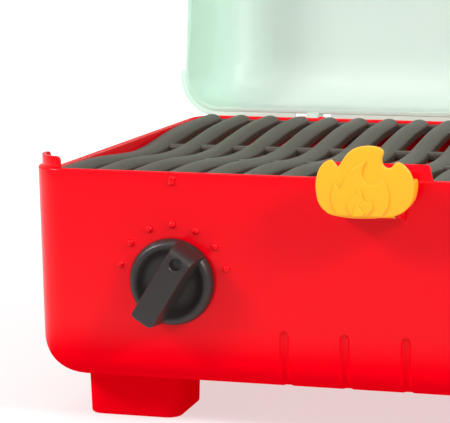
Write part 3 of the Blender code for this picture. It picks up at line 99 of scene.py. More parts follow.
def linear(hex_colour: str) -> tuple[float, float, float, float]:
    """Turns an sRGB hex colour into a linear one.

    Args:
        hex_colour: six hex digits, with or without a hash sign.

    Returns:
        The linear red, green and blue, and an alpha of 1.
    """
    digits = hex_colour.lstrip("#")
    values = [int(digits[i:i + 2], 16) / 255 for i in (0, 2, 4)]
    red, green, blue = (v / 12.92 if v <= 0.04045 else ((v + 0.055) / 1.055) ** 2.4 for v in values)
    return red, green, blue, 1.0


def add_node(tree: bpy.types.NodeTree, kind: str, sockets: dict[Any, Any] | None = None,
             **settings: Any) -> bpy.types.Node:
    """Adds a shader node with its settings, socket values and links.

    Args:
        tree: the node tree of the material or world.
        kind: Blender's name of the node type, without the ShaderNode in front.
        sockets: input names or numbers, each with a value or with the output socket to link.
        **settings: properties of the node itself.

    Returns:
        The new node.
    """
    node = tree.nodes.new("ShaderNode" + kind)
    for name, value in settings.items():
        setattr(node, name, value)
    for name, value in (sockets or {}).items():
        if isinstance(value, bpy.types.NodeSocket):
            tree.links.new(value, node.inputs[name])
        else:
            node.inputs[name].default_value = value
    return node


def feed(source: bpy.types.Node, output: str, target: bpy.types.Node, socket: str) -> None:
    """Links an output of one node to a socket of another."""
    source.id_data.links.new(source.outputs[output], target.inputs[socket])


def begin(name: str, constants: dict[str, Any]) -> tuple[Material, bpy.types.NodeTree, bpy.types.Node, Any]:
    """Starts a material whose patterns will lie on the piece's Object coordinates.

    Args:
        name: the material's common name.
        constants: the shader's sockets that hold one value.

    Returns:
        The material, its node tree, its shader and the coordinates' socket.
    """
    material = bpy.data.materials.new(name)
    material.use_nodes = True
    tree = material.node_tree
    shader = tree.nodes["Principled BSDF"]
    for socket, value in constants.items():
        shader.inputs[socket].default_value = value
    return material, tree, shader, add_node(tree, "TexCoord").outputs["Object"]


# Finishes

PLASTIC_IOR = 1.49


@dataclass(frozen=True)
class MouldedPlastic:
    """An opaque injection moulded plastic with the fine satin grain of its mould.

    Attributes:
        name: the material's common name.
        colour: the plastic's sRGB colour.
        shade: the slightly deeper colour that the pigment drifts to.
        roughness: the mean roughness of the moulded face.
        specular: the strength of the clear reflection.
        drift_mm: the size of the patches of the colour drift.
        grain_mm: the size of the mould's grain, drawn coarse enough to show.
        grain_depth_mm: how deep the grain is.
        glow: the share of light that scatters under the surface.
        painted_shade_mm: the height below which the clear reflection fades out, a painted shade on the lower
            walls and the feet, or zero.
        blend_mm: half the height over which it does.
    """

    name: str
    colour: str
    shade: str
    roughness: float
    specular: float = 0.5
    drift_mm: float = 40.0
    grain_mm: float = 0.9
    grain_depth_mm: float = 0.012
    glow: float = 0.0
    painted_shade_mm: float = 0.0
    blend_mm: float = 8.0

    def make(self) -> Material:
        """Builds the material.

        Returns:
            The new material.
        """
        material, tree, shader, place = begin(self.name, {
            "IOR": PLASTIC_IOR, "Specular IOR Level": self.specular})
        drift = add_node(tree, "TexNoise", {
            "Vector": place, "Scale": 1000 / self.drift_mm, "Detail": 3.0, "Roughness": 0.55})
        colour = add_node(tree, "Mix", {
            "Factor": drift.outputs["Fac"], "A": linear(self.colour), "B": linear(self.shade)},
            data_type="RGBA")
        feed(colour, "Result", shader, "Base Color")
        grain = add_node(tree, "TexNoise", {
            "Vector": place, "Scale": 1000 / self.grain_mm, "Detail": 2.0, "Roughness": 0.6})
        polish = add_node(tree, "MapRange", {
            "Value": grain.outputs["Fac"], "To Min": self.roughness - 0.04, "To Max": self.roughness + 0.05})
        feed(polish, "Result", shader, "Roughness")
        relief = add_node(tree, "Bump", {
            "Height": grain.outputs["Fac"], "Strength": 0.6, "Distance": self.grain_depth_mm * MM})
        feed(relief, "Normal", shader, "Normal")
        # Painted shade: the clear reflection fades out towards the floor, so the lower walls and the feet
        # read darker
        if self.painted_shade_mm:
            height = add_node(tree, "SeparateXYZ", {"Vector": place})
            shade_fade = add_node(tree, "MapRange", {
                "Value": height.outputs["Z"], "From Min": (self.painted_shade_mm - self.blend_mm) * MM,
                "From Max": (self.painted_shade_mm + self.blend_mm) * MM, "To Max": self.specular},
                interpolation_type="SMOOTHSTEP")
            feed(shade_fade, "Result", shader, "Specular IOR Level")
        if self.glow:
            shader.inputs["Subsurface Weight"].default_value = self.glow
            shader.inputs["Subsurface Radius"].default_value = (1.0, 0.45, 0.2)
            shader.inputs["Subsurface Scale"].default_value = 2 * MM
        return material


@dataclass(frozen=True)
class MilkyPlastic:
    """A thin translucent plastic, moulded smooth, that lets blurred light through.

    Attributes:
        name: the material's common name.
        colour: the tint of light that goes through.
        body: the colour of the pigment that scatters light back.
        side: the deeper colour painted on the side walls, a painted tint for light going a longer way through
            the plastic there.
        clarity: the share of light that goes through.
        roughness: how blurred the light comes out.
        flow_mm: the size of the faint streaks that the melt leaves.
        side_from: how far from the middle the deeper colour starts.
        side_to: how far from the middle it is full.
    """

    name: str
    colour: str
    body: str
    side: str
    clarity: float
    roughness: float
    flow_mm: float = 60.0
    side_from: float = 110 * MM
    side_to: float = 146 * MM

    def make(self) -> Material:
        """Builds the material.

        Returns:
            The new material.
        """
        material, tree, shader, place = begin(self.name, {
            "IOR": PLASTIC_IOR, "Transmission Weight": self.clarity})
        flow = add_node(tree, "TexNoise", {"Vector": place, "Scale": 1000 / self.flow_mm, "Detail": 2.0})
        colour = add_node(tree, "Mix", {
            "Factor": flow.outputs["Fac"], "A": linear(self.colour), "B": linear(self.body)},
            data_type="RGBA")
        # Painted tint: far from the middle in X the side walls take the deeper colour, standing in for
        # light's longer way through them
        parts = add_node(tree, "SeparateXYZ", {"Vector": place})
        aside = add_node(tree, "Math", {0: parts.outputs["X"]}, operation="ABSOLUTE")
        depth = add_node(tree, "MapRange", {
            "Value": aside.outputs["Value"], "From Min": self.side_from, "From Max": self.side_to},
            interpolation_type="SMOOTHSTEP")
        tint = add_node(tree, "Mix", {
            "Factor": depth.outputs["Result"], "A": colour.outputs["Result"], "B": linear(self.side)},
            data_type="RGBA")
        feed(tint, "Result", shader, "Base Color")
        blur = add_node(tree, "MapRange", {
            "Value": flow.outputs["Fac"], "To Min": self.roughness - 0.03, "To Max": self.roughness + 0.03})
        feed(blur, "Result", shader, "Roughness")
        return material


@dataclass(frozen=True)
class PlatedSteel:
    """Zinc plated steel wire, as screws and pins are made: bright, with fine drawn streaks."""

    name: str
    colour: str
    roughness: float
    streak_mm: float = 0.4

    def make(self) -> Material:
        """Builds the material.

        Returns:
            The new material.
        """
        material, tree, shader, place = begin(self.name, {"Base Color": linear(self.colour), "Metallic": 1.0})
        streak = add_node(tree, "TexNoise", {"Vector": place, "Scale": 1000 / self.streak_mm, "Detail": 3.0})
        polish = add_node(tree, "MapRange", {
            "Value": streak.outputs["Fac"], "To Min": self.roughness - 0.08, "To Max": self.roughness + 0.1})
        feed(polish, "Result", shader, "Roughness")
        return material


def make_finishes() -> dict[Slot, Material]:
    """Makes every finish of the toy, once.

    Returns:
        The material of each slot.
    """
    return {
        # Polypropylene from a finely spark eroded mould: even, satin, with soft highlights on its edges
        # Its clear reflection fades out below about 36 mm: painted shade on the lower walls and the feet
        Slot.RED: MouldedPlastic(
            "red_polypropylene_moulded", "#E20013", "#DC0011", 0.18, specular=0.17, painted_shade_mm=36.0).make(),
        # The same plastic filled dark grey; its rounded ridges catch the light
        Slot.GRATE: MouldedPlastic(
            "grey_polypropylene_moulded", "#473E35", "#3E362E", 0.42, specular=0.3).make(),
        # ABS with a coarser grain, for grip
        Slot.CHARCOAL: MouldedPlastic(
            "charcoal_abs_moulded", "#2A2523", "#241F1D", 0.38, specular=0.42, grain_depth_mm=0.02).make(),
        # Soft yellow polypropylene, a little glowing at thin edges
        Slot.YELLOW: MouldedPlastic(
            "yellow_polypropylene_moulded", "#FAAE2B", "#F8A722", 0.30, specular=0.2, glow=0.08).make(),
        # Natural polypropylene with a breath of mint pigment: light comes through blurred
        # Its side walls get a deeper painted tint, standing in for light's longer way through them
        Slot.MINT: MilkyPlastic(
            "mint_translucent_polypropylene", "#DDE8DE", "#D8E6DC", "#DCF8E8", 0.56, 0.42).make(),
        # Acetal, the slippery white plastic of small gears
        Slot.WHITE: MouldedPlastic("white_acetal_moulded", "#E6E3DB", "#DDDAD1", 0.38).make(),
        # Steel with a bright zinc skin: cool, and streaked the way that its wire was drawn
        Slot.STEEL: PlatedSteel("zinc_plated_steel", "#C9CACD", 0.3).make(),
    }


# Edit mode helpers

# Points nearer than this are one point
WELD = 0.001 * MM
# How far a piece that is joined to another reaches into it
LAP = 0.3 * MM
# How near to a plane a point counts as lying on it
NEAR = 0.1 * MM
# The rounding of a small moulded edge
FINE_EDGE = 0.3 * MM


def only(obj: Obj) -> None:
    """Selects one object alone and makes it active.

    Args:
        obj: the object.
    """
    bpy.ops.object.select_all(action="DESELECT")
    obj.select_set(True)
    bpy.context.view_layer.objects.active = obj


def edit(obj: Obj, element: Element = Element.POINTS) -> None:
    """Opens an object in edit mode with nothing selected.

    Args:
        obj: the object.
        element: what will be selected in it.
    """
    only(obj)
    bpy.ops.object.mode_set(mode="EDIT")
    bpy.ops.mesh.select_mode(type=element.value)
    bpy.ops.mesh.select_all(action="DESELECT")


def leave() -> None:
    """Goes back to object mode."""
    bpy.ops.object.mode_set(mode="OBJECT")


def every() -> None:
    """Selects the whole mesh in edit mode."""
    bpy.ops.mesh.select_all(action="SELECT")


def extrude(run: Sequence[float] = (0, 0, 0)) -> None:
    """Extrudes what is selected, and moves it by a run."""
    bpy.ops.mesh.extrude_region_move(TRANSFORM_OT_translate={"value": run})


def slice_level(z: float) -> None:
    """Cuts a level loop of edges round the whole mesh, in edit mode."""
    every()
    bpy.ops.mesh.bisect(plane_co=(0, 0, z), plane_no=UP)


def close_up(weld: bool = False) -> None:
    """Welds the seams if asked to, turns every normal outward and leaves edit mode.

    Args:
        weld: whether points that lie on one another become one.
    """
    every()
    if weld:
        bpy.ops.mesh.remove_doubles(threshold=WELD)
    bpy.ops.mesh.normals_make_consistent(inside=False)
    leave()


def pick(obj: Obj, element: Element, test: Callable[[Any], bool]) -> None:
    """Selects, in edit mode, the points, edges or faces that pass a test.

    Args:
        obj: the object in edit mode.
        element: what is selected.
        test: gets each point, edge or face of the mesh.
    """
    bpy.ops.mesh.select_mode(type=element.value)
    bpy.ops.mesh.select_all(action="DESELECT")
    mesh = bmesh.from_edit_mesh(obj.data)
    parts = {Element.POINTS: mesh.verts, Element.EDGES: mesh.edges, Element.FACES: mesh.faces}[element]
    for part in [part for part in parts if test(part)]:
        part.select_set(True)
    bmesh.update_edit_mesh(obj.data)


def middle(part: Any) -> Vector:
    """Returns the middle of an edge or face."""
    return sum((v.co for v in part.verts), Vector()) / len(part.verts)


def settle(obj: Obj) -> Obj:
    """Puts an object's place, turn and size into its mesh.

    Args:
        obj: the object.

    Returns:
        The same object.
    """
    only(obj)
    bpy.ops.object.transform_apply(location=True, rotation=True, scale=True)
    return obj


def block(name: str, low: Point, high: Point) -> Obj:
    """Adds a box between two corners, to be shaped further.

    Args:
        name: the object's name.
        low: its lowest corner.
        high: its highest corner.

    Returns:
        The box.
    """
    centre = [(a + b) / 2 for a, b in zip(low, high)]
    bpy.ops.mesh.primitive_cube_add(size=1, location=centre, scale=[b - a for a, b in zip(low, high)])
    obj = bpy.context.object
    obj.name = name
    return settle(obj)


def panel(name: str, points: Sequence[Point]) -> Obj:
    """Adds one flat face and draws its corners to the given places.

    Args:
        name: the object's name.
        points: where its corners go.

    Returns:
        The face.
    """
    bpy.ops.mesh.primitive_circle_add(vertices=len(points), fill_type="NGON", location=(0, 0, 0))
    obj = bpy.context.object
    obj.name = name
    for vertex, place in zip(obj.data.vertices, points):
        vertex.co = place
    return obj


def drawn_out(name: str, points: Sequence[Point], run: Point, steps: int = 1) -> Obj:
    """Draws a flat outline out into a solid.

    Args:
        name: the object's name.
        points: the outline's corners.
        run: the whole distance that the outline is drawn along.
        steps: how many equal steps it takes.

    Returns:
        The solid.
    """
    obj = panel(name, points)
    edit(obj)
    every()
    step = [value / steps for value in run]
    for _ in range(steps):
        extrude(step)
    close_up()
    return obj


def across(name: str, outline: Sequence[Flat], start: float, run: float) -> Obj:
    """Draws an outline in Y and Z out into a solid, from one place on X along a run."""
    return drawn_out(name, [(start, y, z) for y, z in outline], (run, 0, 0))


def stacked(name: str, rings: Sequence[Sequence[Point]]) -> Obj:
    """Extrudes a flat outline again and again, and draws each new outline to its place.

    Args:
        name: the object's name.
        rings: outlines of the same number of points, from one end of the solid to the other.

    Returns:
        The closed solid.
    """
    obj = panel(name, rings[0])
    edit(obj)
    mesh = bmesh.from_edit_mesh(obj.data)
    order = mesh.verts.layers.int.new("order")
    for i, vertex in enumerate(mesh.verts):
        vertex[order] = i
    bmesh.update_edit_mesh(obj.data)
    every()
    for ring in rings[1:]:
        extrude()
        mesh = bmesh.from_edit_mesh(obj.data)
        order = mesh.verts.layers.int["order"]
        for vertex in mesh.verts:
            if vertex.select:
                vertex.co = ring[vertex[order]]
        bmesh.update_edit_mesh(obj.data)
    close_up()
    obj.data.attributes.remove(obj.data.attributes["order"])
    return obj


def turned(name: str, profile: Sequence[Flat], centre: Point, axis: Point, steps: int = 64,
           ring: bool = False) -> Obj:
    """Spins a profile round an axis into a closed solid.

    Args:
        name: the object's name.
        profile: pairs of distance along the axis and radius, from end to end.
        centre: where the axis starts.
        axis: the axis' direction.
        steps: the number of sides.
        ring: whether the profile is a closed line beside the axis.

    Returns:
        The solid.
    """
    along = Vector(axis).normalized()
    side = along.orthogonal().normalized()
    start = Vector(centre)
    points = [start + along * a + side * r for a, r in profile]
    if not ring:
        points = [start + along * profile[0][0]] + points + [start + along * profile[-1][0]]
    obj = panel(name, points)
    edit(obj)
    every()
    bpy.ops.mesh.delete(type="ONLY_FACE")
    if not ring:
        pick(obj, Element.EDGES, lambda e: {e.verts[0].index, e.verts[1].index} == {0, len(points) - 1})
        bpy.ops.mesh.delete(type="EDGE")
    bpy.ops.mesh.select_mode(type="VERT")
    every()
    bpy.ops.mesh.spin(steps=steps, angle=2 * math.pi, center=start, axis=along)
    close_up(weld=True)
    return obj


def rod(name: str, ends: Flat, radius: float, centre: Point, axis: Point, steps: int = 32) -> Obj:
    """Turns a plain cylinder, whose ends lie at two distances along an axis."""
    return turned(name, [(end, radius) for end in ends], centre, axis, steps)


def modify(obj: Obj, kind: str, **settings: Any) -> Obj:
    """Adds a modifier with its settings and applies it.

    Args:
        obj: the object.
        kind: Blender's name of the modifier's type.
        **settings: its settings.

    Returns:
        The same object.
    """
    only(obj)
    modifier = obj.modifiers.new(kind.lower(), kind)
    for name, value in settings.items():
        setattr(modifier, name, value)
    bpy.ops.object.modifier_apply(modifier=modifier.name)
    return obj


def round_edges(obj: Obj, width: float, segments: int = 3, angle: float = 35.0) -> Obj:
    """Rounds the edges that turn more than an angle in degrees."""
    return modify(obj, "BEVEL", width=width, segments=segments, limit_method="ANGLE",
                  angle_limit=math.radians(angle), miter_outer="MITER_ARC", use_clamp_overlap=True)


def weigh_edges(obj: Obj, weight: Callable[[Any], float]) -> None:
    """Gives each edge the bevel weight that a rule says, in edit mode.

    Args:
        obj: the object in edit mode.
        weight: gets each edge and returns its weight.
    """
    mesh = bmesh.from_edit_mesh(obj.data)
    layers = mesh.edges.layers.float
    layer = layers.get("bevel_weight_edge") or layers.new("bevel_weight_edge")
    for edge in mesh.edges:
        edge[layer] = weight(edge)
    bmesh.update_edit_mesh(obj.data)


def combine(obj: Obj, others: Sequence[Obj], operation: str) -> Obj:
    """Unites an object with others, or cuts them out of it, and removes them.

    Args:
        obj: the object that stays.
        others: the objects that are used up.
        operation: UNION or DIFFERENCE.

    Returns:
        The object that stays.
    """
    for other in others:
        modify(obj, "BOOLEAN", operation=operation, solver="EXACT", object=other)
        bpy.data.objects.remove(other, do_unlink=True)
    return obj


def join(name: str, objs: Sequence[Obj]) -> Obj:
    """Joins objects into one.

    Args:
        name: the joined object's name.
        objs: the objects, of which the first stays.

    Returns:
        The joined object.
    """
    bpy.ops.object.select_all(action="DESELECT")
    for obj in objs:
        obj.select_set(True)
    bpy.context.view_layer.objects.active = objs[0]
    bpy.ops.object.join()
    objs[0].name = name
    return objs[0]


def copy_of(obj: Obj, name: str, move: Matrix) -> Obj:
    """Copies a finished piece, with a mesh of its own, to another place.

    Args:
        obj: the finished piece.
        name: the copy's name.
        move: the way to its place.

    Returns:
        The copy.
    """
    twin = obj.copy()
    twin.data = obj.data.copy()
    twin.name = name
    bpy.context.scene.collection.objects.link(twin)
    twin.data.transform(move)
    return twin


def about(place: Point, angle: float, axis: str) -> Matrix:
    """Returns the turn by an angle about an axis through a place."""
    way = Matrix.Translation(place)
    return way @ Matrix.Rotation(angle, 4, axis) @ way.inverted()


def arc(centre: Flat, radius: float, start: float, end: float, steps: int) -> list[Flat]:
    """Returns points along an arc; angles are in degrees."""
    angles = [math.radians(start + (end - start) * i / steps) for i in range(steps + 1)]
    return [(centre[0] + radius * math.cos(a), centre[1] + radius * math.sin(a)) for a in angles]


# The sides of the four corners of a plan, and the angle at which each one's arc starts
CORNERS = ((1, 1, 0), (-1, 1, 90), (-1, -1, 180), (1, -1, 270))


@dataclass
class Assembly:
    """What every sub-assembly shares: its finishes, and the way its pieces are finished and handed over.

    Attributes:
        finishes: the materials of the toy, by slot.
        shift: the way from the tub's frame to the model's frame.
    """

    finishes: dict[Slot, Material]
    shift: Vector

    def hand_over(self, obj: Obj, finish: Slot, body: Body, nodes: Sequence[str], angle: float = 35.0,
                  turn: Matrix | None = None) -> None:
        """Finishes a piece: smooths it, carries it to its place, dresses it and joins it to its body.

        Args:
            obj: the finished mesh, in the tub's frame.
            finish: its finish.
            body: the body that it moves with.
            nodes: the nodes that it stands for.
            angle: the angle in degrees above which an edge stays sharp.
            turn: a turn in the tub's frame, for pieces that don't rest in the pose they are built in.
        """
        if turn is not None:
            obj.data.transform(turn)
        obj.data.transform(Matrix.Translation(self.shift))
        only(obj)
        bpy.ops.object.shade_smooth_by_angle(angle=math.radians(angle))
        obj.data.materials.clear()
        obj.data.materials.append(self.finishes[finish])
        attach(obj, body.value)
        if nodes:
            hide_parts(*nodes)
        LOG.info("%s: %d faces, rides on %s", obj.name, len(obj.data.polygons), body.value)


def ease(share: float) -> float:
    """Turns an even share into one that starts and ends gently."""
    return share * share * (3 - 2 * share)


def groove_section(mouth: float, floor: float) -> list[Flat]:
    """Draws the section of one pressed groove, from left to right.

    Args:
        mouth: half the width of its mouth.
        floor: half the width of its floor.

    Returns:
        Each point's way from the groove's middle, and its share of the depth.
    """
    flank = [(mouth + (floor - mouth) * i / 5, ease(i / 5)) for i in range(6)]
    return [(-x, share) for x, share in flank] + [(x, share) for x, share in reversed(flank)]


@dataclass
class Tub(Assembly):
    """The red tub: walls, floor, rim, corner lips, tab, pips, dial dots and the vent grooves."""

    width: float = 280.0 * MM
    depth: float = 215.0 * MM
    height: float = 84.5 * MM
    bottom: float = 19.2 * MM
    wall: float = 2.5 * MM
    draft: float = math.radians(0.7)
    corner: float = 14.0 * MM
    floor_corner: float = 5.0 * MM
    side_fillet: float = 17.0 * MM
    front_fillet: float = 10.0 * MM
    rim_drop: float = 3.2 * MM
    collar: float = 3.0 * MM
    rear_rise: float = 1.0 * MM
    step_back: float = 18.0 * MM
    step_run: float = 1.2 * MM
    edge: float = 1.15 * MM
    groove_pitch: float = 24.0 * MM
    groove_count: int = 4
    groove_half: float = 2.2 * MM
    groove_slope: float = 1.2 * MM
    groove_least: float = 0.03 * MM
    groove_depth: float = 1.2 * MM
    groove_drop: float = 60.5 * MM
    groove_foot: float = 0.15
    groove_floor: float = 8.0 * MM
    lip_height: float = 4.4 * MM
    lip_inset: float = 1.6 * MM
    lip_thickness: float = 1.5 * MM
    lip_start: float = 5.0
    lip_tail: float = 3.5 * MM
    lip_round: float = 1.9 * MM
    lip_edge: float = 0.5 * MM
    tab_base: float = 44.0 * MM
    tab_top: float = 40.9 * MM
    tab_height: float = 5.9 * MM
    tab_bevel: float = 2.7 * MM
    tab_bevel_run: float = 1.3 * MM
    tab_inset: float = 0.4 * MM
    tab_edge: float = 1.0 * MM
    knob_x: float = -80.5 * MM
    knob_drop: float = 43.0 * MM
    dot_ring: float = 22.4 * MM
    dot_radius: float = 1.6 * MM
    dot_count: int = 7
    dot_first: float = 165.0
    dot_step: float = -25.0
    pip_drop: float = 3.3 * MM
    pip_half_height: float = 2.15 * MM
    pip_radius: float = 1.5 * MM
    post_x: float = 52.6 * MM
    post_inset: float = 15.0 * MM
    post_radius: float = 4.8 * MM
    post_bore: float = 3.2 * MM
    post_mouth: float = 1.5 * MM
    post_seat: float = 6.0 * MM
    post_drop: float = 14.8 * MM
    well_rise: float = 4.0 * MM

    @property
    def rim(self) -> float:
        """The height of the front rim."""
        return self.bottom + self.height

    @property
    def front(self) -> float:
        """The Y of the front rim's outer edge."""
        return -self.depth / 2

    def lean(self, z: float) -> float:
        """Returns how far the drafted walls have come in at a height."""
        return (self.rim - z) * math.tan(self.draft)

    def wall_y(self, z: float) -> float:
        """Returns the Y of the front wall's face at a height."""
        return self.front + self.lean(z)

    def plan(self, half_x: float, half_y: float, radius: float, groove: Flat, push: float) -> list[tuple]:
        """Draws the plan of one ring of the tub.

        Args:
            half_x: half the ring's width.
            half_y: half the ring's depth.
            radius: its corner radius.
            groove: half the width of each groove's mouth and floor on this ring.
            push: how far the grooves' floors stand back.

        Returns:
            For each point X, Y, its share of an end wall, and how far it is pressed in.
        """
        points: list[tuple] = []
        step = -half_y + radius + self.step_back - self.corner
        steps = [step + self.step_run * i / 6 for i in range(7)]
        for sx, sy, start in CORNERS:
            centre = (sx * (half_x - radius), sy * (half_y - radius))
            for x, y in arc(centre, radius, start, start + 90, 14):
                away = abs(y - centre[1]) / radius
                points.append((x, y, min(1.0, away * away), 0.0))
            if (sx, sy) == (-1, 1):
                points += [(-half_x, y, 0.0, 0.0) for y in reversed(steps)]
            if (sx, sy) == (-1, -1):
                for i in range(self.groove_count):
                    middle_x = (i - (self.groove_count - 1) / 2) * self.groove_pitch
                    points += [(middle_x + x, -half_y, 1.0, push * depth)
                               for x, depth in groove_section(*groove)]
            if (sx, sy) == (1, -1):
                points += [(half_x, y, 0.0, 0.0) for y in steps]
        return points

    def wall_ring(self, z: float, offset: float, groove: Flat, push: float) -> list[Point]:
        """Draws a ring of the drafted walls at one height, or of their inner faces at an offset.

        Args:
            z: the ring's height.
            offset: how far inside the outer face it lies.
            groove: half the width of each groove's mouth and floor.
            push: how far the grooves' floors stand back.

        Returns:
            The ring's points.
        """
        half_x, half_y = (size / 2 - self.lean(z) - offset for size in (self.width, self.depth))
        plan = self.plan(half_x, half_y, self.corner - offset, groove, push)
        return [(x, y + depth, z) for x, y, _, depth in plan]

    def fillet_ring(self, turn: float, offset: float, push: float) -> list[Point]:
        """Draws a ring of the bottom fillet.

        Args:
            turn: from 0 on the floor to 1 on the wall.
            offset: how far inside the outer face it lies.
            push: how far the grooves' floors stand back.

        Returns:
            The ring's points.
        """
        rise, reach = 1 - math.cos(turn * math.pi / 2), math.sin(turn * math.pi / 2)
        wide, narrow = self.side_fillet - offset, self.front_fillet - offset
        half_x = self.width / 2 - self.lean(self.bottom + self.side_fillet) - offset - wide * (1 - reach)
        half_y = self.depth / 2 - self.lean(self.bottom + self.front_fillet) - offset - narrow * (1 - reach)
        radius = self.floor_corner + (self.corner - offset - self.floor_corner) * reach
        ring = []
        for x, y, end, depth in self.plan(half_x, half_y, radius, self.mouth(0), push):
            height = (wide + (narrow - wide) * end) * rise
            depth *= self.groove_foot + (1 - self.groove_foot) * turn
            ring.append((x, y + depth * reach, self.bottom + offset + height + depth * (1 - rise)))
        return ring

    def rim_ring(self, offset: float, down: float) -> list[Point]:
        """Draws a ring of the rim, which steps down behind the front corners and rises a little behind.

        Args:
            offset: how far inside the outer face it lies.
            down: how far below the rim's crest it lies.

        Returns:
            The ring's points.
        """
        half_x, half_y = (size / 2 - offset for size in (self.width, self.depth))
        step = self.front + self.step_back
        ring = []
        for x, y, _, _ in self.plan(half_x, half_y, self.corner - offset, self.mouth(self.groove_half), 0):
            share = min(1.0, max(0.0, (y - step) / self.step_run))
            rise = self.rear_rise * ease(min(1.0, max(0.0, (y + self.front + self.corner) / self.corner)))
            ring.append((x, y, self.rim - self.rim_drop * ease(share) + rise - down))
        return ring

    def mouth(self, up: float) -> Flat:
        """Measures a groove at a height in its round top.

        Args:
            up: the height over the round top's start.

        Returns:
            Half the width of the groove's mouth, and of its floor.
        """
        inner = self.groove_half - self.groove_slope
        return (math.sqrt(max(0.0, self.groove_half ** 2 - up * up)) + 2 * self.groove_least,
                math.sqrt(max(0.0, inner * inner - up * up)) + self.groove_least)

    def shell(self) -> Obj:
        """Models the walls and floor as one closed wall, extruded ring by ring.

        Returns:
            The shell, still without its small features.
        """
        plain = self.mouth(self.groove_half)
        top = self.rim - self.groove_drop
        flat = [(x, y, self.bottom) for x, y, _, _ in self.plan(
            self.width / 2 - self.side_fillet - self.groove_floor,
            self.depth / 2 - self.front_fillet - self.groove_floor, self.floor_corner, self.mouth(0), 0)]
        rings = [flat]
        rings += [self.fillet_ring(i / 12, 0, self.groove_depth) for i in range(13)]
        for share in (0, 0.25, 0.45, 0.6, 0.75, 0.86, 0.94, 1.0):
            up = share * self.groove_half
            push = self.groove_depth * ease(min(1.0, (self.groove_half - up) / self.groove_slope))
            rings.append(self.wall_ring(top - self.groove_half + up, 0, self.mouth(up), push))
        rings.append(self.wall_ring(self.rim - self.rim_drop - self.collar, 0, plain, 0))
        turns = [math.radians(angle) for angle in (0, 15, 30, 45, 60, 75, 90)]
        for angle in turns:
            rings.append(self.rim_ring(self.edge * (1 - math.cos(angle)), self.edge * (1 - math.sin(angle))))
        for angle in reversed(turns):
            rings.append(self.rim_ring(self.wall - self.edge * (1 - math.cos(angle)),
                                       self.edge * (1 - math.sin(angle))))
        rings.append(self.wall_ring(self.rim - self.rim_drop - self.collar, self.wall, plain, 0))
        rings += [self.fillet_ring(i / 6, self.wall, 0) for i in range(6, -1, -1)]
        return stacked("tub_shell", rings)

    def lip(self, side: int) -> Obj:
        """Models the raised arc on one front corner of the rim, with rounded ends.

        Args:
            side: -1 for the left corner and 1 for the right one.

        Returns:
            The lip.
        """
        outer = self.corner - self.lip_inset
        inner = outer - self.lip_thickness
        centre = (side * (self.width / 2 - self.corner), self.front + self.corner)
        swing = math.radians(90 - self.lip_start) * outer
        length = swing + self.lip_tail
        ends = [self.lip_round * (1 - math.cos(math.radians(a))) for a in (0, 18, 36, 54, 72, 90)]
        places = ends + [self.lip_round + (length - 2 * self.lip_round) * i / 20 for i in range(1, 20)]
        places += [length - place for place in reversed(ends)]
        rings = []
        for place in places:
            turn = math.radians(self.lip_start) + min(place, swing) / outer
            out = (side * math.sin(turn), -math.cos(turn))
            back = max(0.0, place - swing)
            near = max(0.0, self.lip_round - min(place, length - place))
            top = self.rim + self.lip_height - self.lip_round + math.sqrt(self.lip_round ** 2 - near * near)
            rings.append([(centre[0] + out[0] * r, centre[1] + out[1] * r + back, z) for r, z in (
                (outer, self.rim - MM), (outer, top), (inner, top), (inner, self.rim - MM))])
        return round_edges(stacked("lip", rings), self.lip_edge, 4, 50)

    def tab(self) -> Obj:
        """Models the tab in the middle of the front rim.

        Returns:
            The tab.
        """
        front = self.front + self.tab_inset
        back = self.front + self.wall - self.tab_inset
        base, top = self.rim - self.collar, self.rim + self.tab_height
        obj = block("tab", (-self.tab_base / 2, front, base), (self.tab_base / 2, back, top))
        edit(obj)
        slice_level(self.rim)
        slice_level(top - self.tab_bevel)
        for z in (top - self.tab_bevel, top):
            share = (z - self.rim) / self.tab_height
            width = self.tab_base + (self.tab_top - self.tab_base) * share
            pick(obj, Element.POINTS, lambda v: abs(v.co.z - z) < NEAR)
            bpy.ops.transform.resize(value=(width / self.tab_base, 1, 1), center_override=(0, 0, z))
        pick(obj, Element.POINTS, lambda v: v.co.z > top - NEAR and v.co.y < front + NEAR)
        bpy.ops.transform.translate(value=(0, self.tab_bevel_run, 0))
        weigh_edges(obj, lambda e: 1.0 if all(v.co.z > top - NEAR for v in e.verts)
                    and abs(e.verts[0].co.x - e.verts[1].co.x) < NEAR else 0.0)
        leave()
        modify(obj, "BEVEL", width=self.tab_edge, segments=4, limit_method="WEIGHT")
        return round_edges(obj, FINE_EDGE, 3, 20)

    def bead(self, x: float, z: float, radius: float, half_height: float) -> Obj:
        """Models a rounded bead that stands out of the front wall.

        Args:
            x: the bead's place across.
            z: the bead's height.
            radius: half its width.
            half_height: half its height.

        Returns:
            The bead, cut off inside the wall.
        """
        y = self.wall_y(z) + LAP
        bpy.ops.mesh.primitive_uv_sphere_add(segments=28, ring_count=16, radius=radius, location=(0, 0, 0))
        obj = bpy.context.object
        edit(obj)
        pick(obj, Element.POINTS, lambda v: v.co.z > 0)
        bpy.ops.transform.translate(value=(0, 0, half_height - radius))
        pick(obj, Element.POINTS, lambda v: v.co.z < 0)
        bpy.ops.transform.translate(value=(0, 0, radius - half_height))
        every()
        bpy.ops.mesh.bisect(plane_co=(0, 0.2 * MM, 0), plane_no=(0, 1, 0), clear_outer=True, use_fill=True)
        leave()
        obj.data.transform(Matrix.Translation((x, y, z)))
        return obj

    def dots(self) -> list[Obj]:
        """Models the ring of dial dots.

        Returns:
            The seven beads.
        """
        beads = []
        for i in range(self.dot_count):
            angle = math.radians(self.dot_first + i * self.dot_step)
            x = self.knob_x + self.dot_ring * math.cos(angle)
            z = self.rim - self.knob_drop + self.dot_ring * math.sin(angle)
            beads.append(self.bead(x, z, self.dot_radius, self.dot_radius))
        return beads

